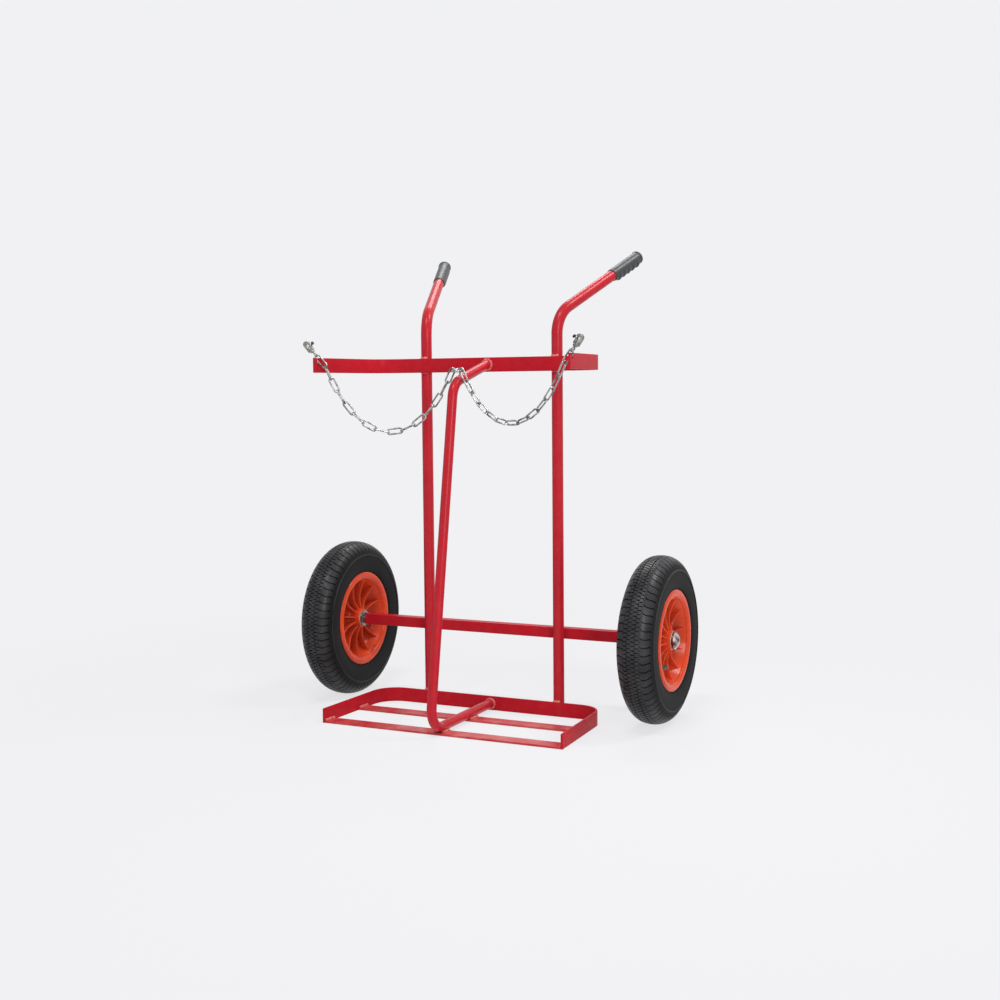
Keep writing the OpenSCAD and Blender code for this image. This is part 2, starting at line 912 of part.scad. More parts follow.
module snap_hook(side) {
    limb_x = snap_half_w - snap_limb_w;
    collar_z = snap_collar_z + loose_gap;
    color(zinc)
        on_swivel(side)
            difference() {
                union() {
                    translate([0, 0, collar_z])
                        cylinder(d = snap_collar_d, h = barrel_floor_z - collar_z);
                    translate([-snap_half_w, -snap_t / 2, snap_body_z - barrel_sunk])
                        cube([snap_half_w + barrel_x, snap_t, barrel_floor_z - snap_body_z + barrel_sunk]);
                    translate([-snap_half_w, -snap_t / 2, snap_body_z])
                        cube([snap_limb_w, snap_t, hook_bow_z - snap_body_z]);
                    translate([limb_x, -snap_t / 2, hook_tip_z])
                        cube([snap_limb_w, snap_t, hook_bow_z - hook_tip_z]);
                    translate([0, snap_t / 2, hook_bow_z])
                        rotate([90, 0, 0])
                            rotate_extrude(angle = 180)
                                translate([limb_x, 0])
                                    square([snap_limb_w, snap_t]);
                    translate([barrel_x, 0, snap_body_z - barrel_sunk])
                        cylinder(d = barrel_d, h = barrel_top_z - snap_body_z + barrel_sunk);
                }
                translate([0, 0, collar_z - cut])
                    cylinder(d = snap_neck_d + 2 * running_gap, h = snap_rivet_z - collar_z + cut + loose_gap);
                translate([0, 0, snap_rivet_z])
                    cylinder(d = snap_rivet_d + 2 * loose_gap, h = snap_rivet_h + 2 * loose_gap);
                translate([barrel_x, 0, barrel_floor_z])
                    cylinder(d = bolt_bore, h = barrel_top_z - barrel_floor_z + cut);
                translate([barrel_x, -stud_d / 2 - loose_gap, stud_z - bolt_travel - stud_d / 2 - loose_gap])
                    cube([barrel_d, stud_d + 2 * loose_gap, 2 * bolt_travel + stud_d]);
            }
}

module snap_bolt(side) {
    color(zinc)
        on_swivel(side)
            translate([barrel_x, 0, 0]) {
                translate([0, 0, bolt_tail_z])
                    cylinder(d = bolt_d, h = hook_tip_z - loose_gap - bolt_tail_z);
                translate([0, 0, stud_z])
                    rotate([0, 90, 0]) {
                        cylinder(d = stud_d, h = stud_len);
                        translate([0, 0, stud_len])
                            cylinder(d = stud_head_d, h = stud_head_h);
                    }
            }
}

upright(-1);  // left_upright
upright(1);  // right_upright
grip(-1);  // left_grip
grip(1);  // right_grip
top_bar();
centre_tube();
chain_eye();
tray_wall();
tray_front_bar();
tray_middle_bar();
axle_beam();
axle_rod();
axle_spacers();
inner_washers();
outer_washers();
axle_cap(-1);  // left_axle_cap
axle_cap(1);  // right_axle_cap
tyre(-1);  // left_tyre
tyre(1);  // right_tyre
inner_tube(-1);  // left_inner_tube
inner_tube(1);  // right_inner_tube
rim_outer_half(-1);  // left_rim_outer_half
rim_outer_half(1);  // right_rim_outer_half
rim_inner_half(-1);  // left_rim_inner_half
rim_inner_half(1);  // right_rim_inner_half
bush(-1, 1);  // left_outer_bush
bush(1, 1);  // right_outer_bush
bush(-1, -1);  // left_inner_bush
bush(1, -1);  // right_inner_bush
valve(-1);  // left_valve
valve(1);  // right_valve
valve_cap(-1);  // left_valve_cap
valve_cap(1);  // right_valve_cap
chain(-1, left_links);  // left_chain
chain(1, right_links);  // right_chain
end_link(-1);  // left_end_link
end_link(1);  // right_end_link
snap_eye(-1);  // left_snap_eye
snap_eye(1);  // right_snap_eye
snap_hook(-1);  // left_snap_hook
snap_hook(1);  // right_snap_hook
snap_bolt(-1);  // left_snap_bolt
snap_bolt(1);  // right_snap_bolt
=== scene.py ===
import math

import bpy
from mathutils import Matrix, Vector


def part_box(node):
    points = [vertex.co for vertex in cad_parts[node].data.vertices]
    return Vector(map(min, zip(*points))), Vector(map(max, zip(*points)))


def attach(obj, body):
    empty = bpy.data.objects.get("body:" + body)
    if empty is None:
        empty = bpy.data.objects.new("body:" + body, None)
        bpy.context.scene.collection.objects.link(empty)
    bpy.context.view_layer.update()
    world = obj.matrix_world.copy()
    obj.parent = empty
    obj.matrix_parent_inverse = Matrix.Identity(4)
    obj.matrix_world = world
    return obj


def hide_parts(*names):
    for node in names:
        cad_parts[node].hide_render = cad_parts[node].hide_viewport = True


bl_info = {
    "name": "Gas cylinder trolley",
    "version": (1, 0, 0),
    "blender": (4, 5, 0),
    "location": "View3D > Sidebar > Trolley",
    "description": "Dresses a two-bay gas cylinder trolley: paint, welds, tyres, rims, grips, chains and stage",
    "category": "Object",
}

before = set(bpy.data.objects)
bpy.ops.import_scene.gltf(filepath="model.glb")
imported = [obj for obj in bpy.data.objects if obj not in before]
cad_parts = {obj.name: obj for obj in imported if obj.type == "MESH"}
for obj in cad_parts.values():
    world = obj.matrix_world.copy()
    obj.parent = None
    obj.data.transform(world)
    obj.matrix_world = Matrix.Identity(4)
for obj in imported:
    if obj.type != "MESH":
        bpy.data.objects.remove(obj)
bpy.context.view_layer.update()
SIDES = {"left": -1, "right": 1}
FLOOR_BARS = ("tray_front_bar", "tray_middle_bar")
AXLE_RINGS = ("inner_washers", "outer_washers", "axle_spacers")

# Points closer than this are one point, and edges of a sheet closer than this are joined
TOUCHING = 0.000002
SEAM = 0.00006


def both(*names):
    """The left and the right node of each name."""
    return tuple(f"{side}_{name}" for name in names for side in SIDES)


def corners(node):
    """The low and the high corner of a node's box."""
    low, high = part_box(node)
    return Vector(low), Vector(high)


def middle(node):
    """The middle of a node's box."""
    low, high = corners(node)
    return (low + high) / 2


# Settings that a user would change
def number(name, description, default, **limits):
    return bpy.props.FloatProperty(name=name, description=description, default=default, **limits)


def whole(name, description, default, low, high):
    return bpy.props.IntProperty(name=name, description=description, default=default, min=low, max=high)


def length(name, description, default):
    return number(name, description, default, min=0.0, unit="LENGTH", subtype="DISTANCE", precision=4)


def angle(name, description, degrees):
    return number(name, description, math.radians(degrees), unit="ROTATION", subtype="ANGLE")


def colour(name, description, default):
    return bpy.props.FloatVectorProperty(
        name=name, description=description, default=default, size=3, min=0.0, max=1.0, subtype="COLOR")


def place(name, description, default):
    return bpy.props.FloatVectorProperty(
        name=name, description=description, default=default, size=3, unit="LENGTH", subtype="XYZ")


class TrolleyFinishes(bpy.types.PropertyGroup):
    """Colours of the trolley's finishes"""
    paint: colour("Paint", "Red enamel on the frame", (0.50, 0.0125, 0.024))
    # Pale enamel: rubbed paint, painted highlight on the weld beads and painted sheen on the floor bars
    rubbed_and_highlight: colour("Rubbed paint", "Enamel where it is rubbed or lies on a weld", (0.78, 0.27, 0.24))
    rim: colour("Rim", "Moulded plastic of the rims", (0.74, 0.072, 0.022))
    tyre: colour("Tyre", "Rubber of the tyres", (0.0045, 0.0045, 0.0048))
    grip: colour("Grip", "Rubber of the handle grips", (0.040, 0.044, 0.045))
    zinc: colour("Zinc", "Plating of the chains", (0.35, 0.355, 0.345))
    steel: colour("Steel", "Plating of the axle's fittings", (0.30, 0.295, 0.285))
    chrome: colour("Chrome", "Bright plating of the axle caps", (0.74, 0.73, 0.73))
    # Painted reflection: the dark, reddish streaks in the caps' chrome
    chrome_reflection_dark: colour("Dark chrome", "Dark streaks in that plating", (0.15, 0.055, 0.05))
    casting: colour("Casting", "Dull metal of the snap hooks", (0.27, 0.275, 0.25))
    blued: colour("Blued steel", "Bolts of the snap hooks", (0.035, 0.030, 0.034))
    nylon: colour("Nylon", "Wheel bushes", (0.70, 0.67, 0.58))
    cap: colour("Valve cap", "Moulded caps of the tyre valves", (0.12, 0.12, 0.12))


class TrolleyTyre(bpy.types.PropertyGroup):
    """Sizes of the treaded tyre"""
    radius: length("Radius", "Radius at the crown", 0.2)
    half_width: length("Half width", "Half of the section's width", 0.044)
    waist: length("Waist radius", "Radius where the section is widest", 0.1565)
    foot: length("Foot radius", "Radius where the sidewall meets the rim", 0.1222)
    bead: length("Bead radius", "Radius of the bead's seat", 0.1016)
    bead_half: length("Bead half width", "Half of the distance over the beads", 0.0369)
    row: length("Row", "Spacing of the block rows in the middle of the tread", 0.0095)
    slit: length("Slit", "Width of the slits between the block rows", 0.0020)
    groove_depth: length("Groove depth", "Depth of the shoulder grooves", 0.0048)
    notch_depth: length("Notch depth", "Depth of the notches between the blocks", 0.0044)
    slit_depth: length("Slit depth", "Depth of the slits between the block rows", 0.0010)
    rib: length("Rib", "Height of the rings on the sidewall", 0.0016)
    zigzag: length("Zigzag", "Sideways step of the block rows", 0.0013)
    roundness: number("Roundness", "Power of the section's curve", 2.3, min=2.0, max=4.0)
    pitches: whole("Pitches", "Repeats of the tread round the tyre", 64, 24, 96)
    lean: number("Lean", "How far a shoulder groove leans, in pitches", 0.30)
    sway: number("Sway", "How far a shoulder groove sways, in pitches", 0.12)


class TrolleyRim(bpy.types.PropertyGroup):
    """Sizes of one half of the moulded rim"""
    lip: length("Lip radius", "Outer radius of the lip", 0.1215)
    mouth: length("Mouth radius", "Radius of the dish at the lip", 0.1025)
    floor: length("Floor radius", "Radius of the dish at its floor", 0.0895)
    barrel: length("Barrel radius", "Radius under the tyre's bead", 0.1014)
    half: length("Half width", "Half of the rim's width", 0.0395)
    web: length("Web", "Thickness of the dish's floor", 0.004)
    hub: length("Hub radius", "Radius of the hub", 0.024)
    hub_half: length("Hub half length", "Half of the hub's length", 0.0339)
    bore: length("Bore radius", "Radius of the hub's bore", 0.0131)
    fin: length("Fin", "Thickness of a fin", 0.0038)
    fin_sag: length("Fin sag", "How far a fin's edge sags between hub and lip", 0.012)
    crown: length("Crown", "How far the lip bulges", 0.0028)
    soft: length("Edge", "Rounding of the moulded edges", 0.0022)
    fins: whole("Fins", "Fins round the hub", 12, 6, 16)
    left_turn: angle("Left turn", "How far the left wheel is turned", -9.5)
    right_turn: angle("Right turn", "How far the right wheel is turned", 8.0)


class TrolleyGrip(bpy.types.PropertyGroup):
    """Sizes of a handle grip and where the handle runs"""
    handle_foot: place("Handle foot", "Where the handle leaves the right upright", (0.1775, 0.018544, 0.972))
    handle_len: length("Handle length", "From the bend to the tube's end", 0.342)
    rise: angle("Rise", "How steeply the handle climbs", 26.6)
    splay: angle("Splay", "How far the handle turns outwards", 18.7)
    sleeve: length("Sleeve", "Length of the tube inside the grip", 0.112)
    end: length("End", "Thickness of the grip's closed end", 0.005)
    bore: length("Bore radius", "Radius of the grip's bore", 0.0137)
    body: length("Body radius", "Radius of the grip between its ridges", 0.0154)
    collar: length("Collar radius", "Radius of the collar at the closed end", 0.0170)
    ridge: length("Ridge", "Height of the finger ridges", 0.0054)
    ridges: whole("Ridges", "Finger ridges under the grip", 5, 3, 7)


class TrolleyBars(bpy.types.PropertyGroup):
    """Sizes of the flat bars of the tray and the top bar"""
    height: length("Height", "Height of the bar", 0.035)
    thick: length("Thickness", "Thickness of the bar", 0.005)
    edge: length("Edge", "Rounding of the bar's edges", 0.0010)
    line: number("Line", "Where the back run lies", 0.002444, unit="LENGTH", precision=5)
    tray_back: length("Tray back", "Half width of the tray at its back", 0.299)
    tray_front: length("Tray front", "Half width of the tray at its front", 0.310)
    tray_depth: length("Tray depth", "Depth of the tray", 0.281)
    tray_corner: length("Tray corner", "Bend radius of the tray", 0.060)
    wing_back: length("Wing back", "Half width of the top bar at its back", 0.306)
    wing_front: length("Wing front", "Half width of the top bar at its wings' ends", 0.327)
    wing_depth: length("Wing depth", "Reach of the wings", 0.268)
    wing_corner: length("Wing corner", "Bend radius of the top bar", 0.080)
    slot_inset: length("Slot inset", "From a wing's end to its slot", 0.014)
    slot_width: length("Slot width", "Width of a slot", 0.007)
    slot_depth: length("Slot depth", "Depth of a slot", 0.0134)


class TrolleyWelds(bpy.types.PropertyGroup):
    """Sizes of the weld beads"""
    thick: length("Bead radius", "Radius of a weld bead", 0.0028)
    ripple: length("Ripple", "Spacing of the ripples along a bead", 0.0021)
    valley: number("Valley", "Share of a bead's radius between two ripples", 0.80, min=0.0, max=1.0)
    drift: number("Drift", "How far a bead's radius wanders along it", 0.12, min=0.0, max=1.0)


class TrolleyStage(bpy.types.PropertyGroup):
    """Floor, light and camera"""
    floor: colour("Floor", "Pale floor and background", (0.879, 0.879, 0.896))
    floor_size: length("Floor size", "Side of the floor", 80.0)
    floor_near: length("Floor near", "Where the lit part of the floor starts to fade", 0.6)
    floor_far: length("Floor far", "Where the lit part of the floor ends", 2.0)
    floor_glow: number("Floor glow", "Share of the floor's own paleness near the trolley", 0.80, min=0.0, max=1.0)
    camera_at: place("Camera", "Where the camera stands", (1.48133, -3.04238, 0.79430))
    camera_aim: place("Aim", "A point on the camera's axis", (0.02339, 0.01721, 0.52353))
    camera_roll: angle("Roll", "How far the camera leans", 0.499)
    lens: number("Lens", "Focal length on a 36 mm sensor", 49.7155, min=10.0, unit="CAMERA")
    sky: colour("Sky", "Colour of the even light", (0.96, 0.98, 1.0))
    ambient: number("Ambient", "Even light from all round", 0.19, min=0.0)
    key: number("Key", "Power of the softbox overhead", 62.0, unit="POWER")
    back: number("Back", "Power of the softbox behind", 45.0, unit="POWER")
    front: number("Front", "Power of the softbox in front", 60.0, unit="POWER")
    side: number("Side", "Power of the softbox on the right", 62.0, unit="POWER")
    fill: number("Fill", "Power of the softbox on the left", 7.0, unit="POWER")


# Small steps of modelling
def mode(name):
    """Opens or leaves edit mode."""
    bpy.ops.object.mode_set(mode=name)


def put_down():
    """Leaves edit mode with nothing selected."""
    if bpy.context.mode != "OBJECT":
        mode("OBJECT")
    bpy.ops.object.select_all(action="DESELECT")


def take(*pieces):
    """Selects the pieces, the first one active."""
    put_down()
    for piece in pieces:
        piece.select_set(True)
    bpy.context.view_layer.objects.active = pieces[0]


def named(name):
    """The piece just added, under its own name."""
    piece = bpy.context.object
    piece.name = name
    piece.data.name = name
    return piece


def new_sheet(name, across, along):
    """A flat sheet of faces, to be laid out point by point."""
    put_down()
    bpy.ops.mesh.primitive_grid_add(x_subdivisions=across, y_subdivisions=along, size=1.0)
    return named(name)


def edit_all(piece):
    """Opens the piece in edit mode with everything selected."""
    take(piece)
    mode("EDIT")
    bpy.ops.mesh.select_all(action="SELECT")


def close_up(piece, reach=TOUCHING):
    """Merges doubled points and turns the faces outwards."""
    edit_all(piece)
    bpy.ops.mesh.remove_doubles(threshold=reach)
    bpy.ops.mesh.normals_make_consistent(inside=False)
    mode("OBJECT")


def smooth(piece, degrees=35):
    """Shades the piece smooth, apart from edges sharper than this."""
    take(piece)
    bpy.ops.object.shade_smooth_by_angle(angle=math.radians(degrees))


def apply_modifier(piece, kind, **values):
    """Adds a modifier with these values and applies it."""
    take(piece)
    bpy.ops.object.modifier_add(type=kind)
    modifier = piece.modifiers[-1]
    for key, value in values.items():
        setattr(modifier, key, value)
    bpy.ops.object.modifier_apply(modifier=modifier.name)


def set_in_place(piece, matrix):
    """Moves the piece and applies its place to its mesh."""
    take(piece)
    piece.matrix_world = matrix
    bpy.ops.object.transform_apply(location=True, rotation=True, scale=True)


def copy_of(piece, name):
    """A copy with its own mesh."""
    take(piece)
    bpy.ops.object.duplicate(linked=False)
    return named(name)


def half_turn(sign):
    """Turns a piece to face the left where the sign is below zero."""
    return Matrix.Rotation(0.0 if sign > 0 else math.pi, 4, "Z")


def rounded(outline, steps=4):
    """A closed outline of (radius, along, rounding) corners with its corners rounded."""
    most_of_edge = 0.45
    points = []
    for i, (r, x, soft) in enumerate(outline):
        here = Vector((r, x))
        if soft <= 0:
            points.append(here)
            continue
        before = Vector(outline[i - 1][:2]) - here
        after = Vector(outline[(i + 1) % len(outline)][:2]) - here
        room = min(soft, before.length * most_of_edge, after.length * most_of_edge)
        start, end = here + before.normalized() * room, here + after.normalized() * room
        for k in range(steps + 1):
            t = k / steps
            points.append(start * (1 - t) ** 2 + here * 2 * t * (1 - t) + end * t ** 2)
    return [(p.x, p.y) for p in points]


def turned(name, outline, steps):
    """Spins a closed outline of (radius, along) points about the X axis."""
    put_down()
    bpy.ops.mesh.primitive_circle_add(vertices=len(outline), radius=0.1)
    piece = named(name)
    for point, (r, x) in zip(piece.data.vertices, outline):
        point.co = (x, r, 0.0)
    edit_all(piece)
    bpy.ops.mesh.spin(steps=steps, angle=2 * math.pi, center=(0, 0, 0), axis=(1, 0, 0))
    close_up(piece)
    return piece


def repeat_round(piece, count):
    """Copies the mesh round the X axis."""
    edit_all(piece)
    bpy.ops.mesh.spin(
        steps=count - 1, angle=2 * math.pi * (count - 1) / count, dupli=True, center=(0, 0, 0), axis=(1, 0, 0))
    mode("OBJECT")


def hand_over(piece, body, slot, finish, *nodes):
    """Gives a finished piece its finish, its body and the nodes it stands for."""
    piece.data.materials.clear()
    piece.data.materials.append(finish)
    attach(piece, body)
    if nodes:
        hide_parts(*nodes)


# Small steps of a finish
def start_finish(name):
    """A new material: its tree, shader and the piece's own coordinates."""
    finish = bpy.data.materials.get(name)
    if finish:
        bpy.data.materials.remove(finish)
    finish = bpy.data.materials.new(name)
    finish.use_nodes = True
    tree = finish.node_tree
    where = tree.nodes.new("ShaderNodeTexCoord").outputs["Object"]
    return finish, tree, tree.nodes["Principled BSDF"], where


def added(tree, kind, inputs, output=0, **settings):
    """Adds a node whose inputs are values or other nodes' outputs, and returns one of its own outputs."""
    node = tree.nodes.new(f"ShaderNode{kind}")
    for key, value in settings.items():
        setattr(node, key, value)
    for key, value in inputs.items():
        if isinstance(value, bpy.types.NodeSocket):
            tree.links.new(value, node.inputs[key])
        else:
            node.inputs[key].default_value = value
    return node.outputs[output] if len(node.outputs) else None


def grain(tree, where, scale, detail=3.0, rough=0.55):
    """A noise pattern's value."""
    return added(tree, "TexNoise", {"Vector": where, "Scale": scale, "Detail": detail, "Roughness": rough}, "Fac")


def cells(tree, where, scale):
    """A cell pattern's colour, one shade to each cell."""
    return added(tree, "TexVoronoi", {"Vector": where, "Scale": scale}, "Color")


def spread(tree, value, low, high, to_low, to_high):
    """Maps a value from one range to another."""
    limits = {"From Min": low, "From Max": high, "To Min": to_low, "To Max": to_high}
    return added(tree, "MapRange", {"Value": value, **limits}, "Result")


def tint(shade, factor):
    """A colour made darker or lighter."""
    return tuple(min(1.0, c * factor) for c in shade)


def shades(tree, value, *stops):
    """A ramp of (position, colour) stops."""
    node = tree.nodes.new("ShaderNodeValToRGB")
    ramp = node.color_ramp
    while len(ramp.elements) < len(stops):
        ramp.elements.new(0.5)
    for element, (position, shade) in zip(ramp.elements, stops):
        element.position = position
        element.color = (*shade, 1.0)
    tree.links.new(value, node.inputs["Fac"])
    return node.outputs["Color"]


def tones(tree, value, base, *stops):
    """A ramp of (position, factor) stops on one colour."""
    return shades(tree, value, *((position, tint(base, factor)) for position, factor in stops))


def blended(tree, value, first, second):
    """Mixes two colours by a value, through the mixing node's sockets for colours."""
    first, second = ((*shade, 1.0) if isinstance(shade, tuple) else shade for shade in (first, second))
    return added(tree, "Mix", {0: value, 6: first, 7: second}, 2, data_type="RGBA")


def uneven_gloss(tree, shader, where, scale, detail, low, high):
    """Roughness that follows a noise pattern, whose values lie mostly from 0.3 to 0.7."""
    tree.links.new(spread(tree, grain(tree, where, scale, detail), 0.3, 0.7, low, high), shader.inputs["Roughness"])


def relief(tree, shader, where, scale, detail, strength, distance):
    """Bump from a noise pattern."""
    height = grain(tree, where, scale, detail)
    normal = added(tree, "Bump", {"Strength": strength, "Distance": distance, "Height": height}, "Normal")
    tree.links.new(normal, shader.inputs["Normal"])


def away_from_wheel(tree, where):
    """Distance from the nearer wheel's middle plane."""
    value = added(tree, "SeparateXYZ", {0: where}, "X")
    for step, shift in (("ABSOLUTE", 0.0), ("SUBTRACT", middle("right_tyre").x), ("ABSOLUTE", 0.0)):
        value = added(tree, "Math", {0: value, 1: shift}, operation=step)
    return value


def away_from_axle(tree, where):
    """Distance from the wheels' axle."""
    apart = added(tree, "VectorMath", {0: where, 1: middle("left_tyre")}, operation="SUBTRACT")
    flat = added(tree, "VectorMath", {0: apart, 1: (0.0, 1.0, 1.0)}, operation="MULTIPLY")
    return added(tree, "VectorMath", {0: flat}, "Value", operation="LENGTH")


# Finishes
def red_enamel(settings, name, scale=45.0, least=0.0, most=0.03, gloss=0.18):
    """Gloss enamel: slow changes of depth, pale patches and a faint waviness; the pale patches are rubbed paint,
    and where they are strong also painted highlight and sheen.
    """
    finish, tree, shader, where = start_finish(name)
    depth = tones(tree, grain(tree, where, 5.0, 2.0), settings.paint, (0.30, 0.93), (0.52, 1.0), (0.74, 1.07))
    # Pale patches: rubbed paint, and where they are strong painted highlight and sheen
    rubbed_and_highlight = spread(tree, grain(tree, where, scale, 4.0, 0.6), 0.38, 0.72, least, most)
    tree.links.new(blended(tree, rubbed_and_highlight, depth, tuple(settings.rubbed_and_highlight)), shader.inputs["Base Color"])
    uneven_gloss(tree, shader, where, 12.0, 2.0, 0.26, 0.31)
    shader.inputs["Specular IOR Level"].default_value = gloss
    relief(tree, shader, where, 35.0, 1.0, 0.012, 0.0005)
    return finish


def moulded_rim(settings):
    """Injection-moulded plastic: faint flow marks, a satin skin and painted shade deep in the dish, darker towards
    the dish's floor.
    """
    finish, tree, shader, where = start_finish("moulded_rim")
    flow = tones(tree, grain(tree, where, 11.0, 3.0), settings.rim, (0.32, 0.86), (0.55, 1.0), (0.75, 1.10))
    # Painted shade: the colour darkens towards the dish's floor
    painted_dish_shade = spread(tree, away_from_wheel(tree, where), 0.004, 0.030, 0.50, 0.0)
    tree.links.new(blended(tree, painted_dish_shade, flow, tint(settings.rim, 0.30)), shader.inputs["Base Color"])
    uneven_gloss(tree, shader, where, 45.0, 4.0, 0.20, 0.28)
    shader.inputs["Specular IOR Level"].default_value = 0.17
    relief(tree, shader, where, 60.0, 1.0, 0.03, 0.0004)
    return finish


def tyre_rubber(settings):
    """Cured rubber: a near black sidewall with one ring painted lighter as a highlight, and a greyer tread, lighter
    from dust and from painted light.
    """
    finish, tree, shader, where = start_finish("tyre_rubber")
    base = settings.tyre
    side = tones(tree, grain(tree, where, 16.0, 5.0, 0.62), base, (0.34, 0.7), (0.58, 1.0), (0.80, 2.0))
    # The tread's colour is lighter than the sidewall's: dust, together with painted light
    tread = tones(tree, grain(tree, where, 22.0, 5.0, 0.62), base, (0.32, 4.0), (0.55, 8.0), (0.80, 15.0))
    outwards = spread(tree, away_from_axle(tree, where), 0.160, 0.195, 0.0, 1.0)
    white = (1.0, 1.0, 1.0)
    # Painted highlight on the sidewall's ring, and painted light with dust on the tread
    painted_ring_highlight_and_tread_light = tones(
        tree, outwards, white, (0.10, 0.0), (0.15, 0.55), (0.21, 0.55), (0.26, 0.0), (0.45, 0.0), (0.85, 1.0))
    tree.links.new(blended(tree, painted_ring_highlight_and_tread_light, side, tread), shader.inputs["Base Color"])
    tree.links.new(spread(tree, painted_ring_highlight_and_tread_light, 0.0, 1.0, 0.66, 0.36), shader.inputs["Roughness"])
    shader.inputs["Specular IOR Level"].default_value = 0.19
    relief(tree, shader, where, 220.0, 3.0, 0.05, 0.0003)
    return finish


def plated_metal(base, name, gloss, low, high, speck=0.25):
    """Plated or cast metal: spangle, cloudy dull spots and fine marks."""
    finish, tree, shader, where = start_finish(name)
    spangle = spread(tree, cells(tree, where, 260.0), 0.0, 1.0, 0.0, speck)
    cloud = tones(tree, grain(tree, where, 70.0, 5.0, 0.65), base, (0.38, low), (0.50, 1.0), (0.66, high))
    tree.links.new(blended(tree, spangle, cloud, tint(base, 0.6)), shader.inputs["Base Color"])
    shader.inputs["Metallic"].default_value = 1.0
    uneven_gloss(tree, shader, where, 130.0, 4.0, gloss * 0.7, gloss * 1.45)
    relief(tree, shader, where, 300.0, 2.0, speck * 0.2, 0.0003)
    return finish


def bright_chrome(settings):
    """Chrome of the axle caps: broad bright and dark streaks, a painted reflection, as if a yard and the red rim
    were mirrored in it.
    """
    finish, tree, shader, where = start_finish("cap_chrome")
    base = tuple(settings.chrome)
    dark = tuple(settings.chrome_reflection_dark)
    # Painted reflection: bright and dark streaks in the chrome's colour
    painted_reflection_streaks = shades(tree, grain(tree, where, 48.0, 1.0), (0.40, dark), (0.50, tint(base, 0.55)), (0.60, base))
    tree.links.new(painted_reflection_streaks, shader.inputs["Base Color"])
    shader.inputs["Metallic"].default_value = 1.0
    uneven_gloss(tree, shader, where, 90.0, 2.0, 0.06, 0.14)
    return finish


def plain_moulding(name, base, marks, stops, gloss, bumps, sheen=0.5):
    """Moulded rubber or plastic: marks, gloss and bumps each start with a noise pattern's scale and detail."""
    finish, tree, shader, where = start_finish(name)
    tree.links.new(tones(tree, grain(tree, where, *marks), base, *stops), shader.inputs["Base Color"])
    uneven_gloss(tree, shader, where, *gloss)
    shader.inputs["Specular IOR Level"].default_value = sheen
    relief(tree, shader, where, *bumps)
    return finish


def grip_rubber(settings):
    """Soft grey rubber with a fine moulded grain."""
    stops = (0.32, 0.78), (0.55, 1.0), (0.78, 1.3)
    return plain_moulding(
        "grip_rubber", settings.grip, (30.0, 4.0), stops, (60.0, 3.0, 0.36, 0.44), (120.0, 1.0, 0.03, 0.0003), 0.38)


def cast_nylon(settings):
    """Off-white nylon, a little greasy round the axle."""
    stops = (0.36, 0.55), (0.52, 1.0), (0.8, 1.1)
    return plain_moulding(
        "cast_nylon", settings.nylon, (70.0, 5.0), stops, (50.0, 3.0, 0.35, 0.55), (900.0, 3.0, 0.1, 0.0002))


def cap_plastic(settings):
    """Dark moulded plastic of the valve caps."""
    stops = (0.38, 0.8), (0.60, 1.0), (0.82, 3.0)
    return plain_moulding(
        "cap_plastic", settings.cap, (160.0, 4.0), stops, (120.0, 3.0, 0.35, 0.55), (1200.0, 3.0, 0.15, 0.0002))


def dress(nodes, finish):
    """Puts a finish into the slots of CAD nodes."""
    for name in nodes:
        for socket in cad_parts[name].material_slots:
            socket.material = finish


def soften(nodes, width, degrees=40, touching=0.000005):
    """Rounds the sharp edges of CAD nodes with live modifiers."""
    for name in nodes:
        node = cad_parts[name]
        weld = node.modifiers.new("join_faces", "WELD")
        weld.merge_threshold = touching
        bevel = node.modifiers.new("round_edges", "BEVEL")
        bevel.width = width
        bevel.segments = 2
        bevel.limit_method = "ANGLE"
        bevel.angle_limit = math.radians(degrees)
        bevel.harden_normals = False


# Flat bars
def bar_path(back, front, depth, corner, line, steps=14):
    """Points and outward normals along a U of flat bar, from the left end to the right end."""
    lean = math.atan2(front - back, depth)
    turn = math.pi / 2 - lean
    run = corner * math.tan(turn / 2)
    out = Vector((math.cos(lean), math.sin(lean), 0.0))
    right = [(Vector((front, line - depth, 0.0)), out)]
    for k in range(steps + 1):
        a = lean + turn * k / steps
        out = Vector((math.cos(a), math.sin(a), 0.0))
        right.append((Vector((back - run, line - corner, 0.0)) + out * corner, out))
    left = [(Vector((-p.x, p.y, p.z)), Vector((-n.x, n.y, n.z))) for p, n in right]
    return left + right[::-1]


def bar_section(thick, height, edge, steps=3):
    """A flat bar's section with rounded edges: (outwards, upwards) points."""
    points = []
    for u, v, first in ((1, 1, 0), (-1, 1, 90), (-1, -1, 180), (1, -1, 270)):
        for k in range(steps + 1):
            a = math.radians(first + 90 * k / steps)
            out = u * (thick / 2 - edge) + edge * math.cos(a)
            up = v * (height / 2 - edge) + edge * math.sin(a)
            points.append((out, up))
    return points


def bent_bar(name, path, section, mid_z):
    """A sheet laid along a path and closed round a bar's section."""
    across, along = len(section), len(path) - 1
    bar = new_sheet(name, across, along)
    for point in bar.data.vertices:
        out, high = section[round((point.co.x + 0.5) * across) % across]
        at, normal = path[round((point.co.y + 0.5) * along)]
        point.co = at + normal * out + Vector((0, 0, mid_z + high))
    close_up(bar, SEAM)
    edit_all(bar)
    bpy.ops.mesh.fill_holes(sides=0)
    bpy.ops.mesh.normals_make_consistent(inside=False)
    mode("OBJECT")
    return bar


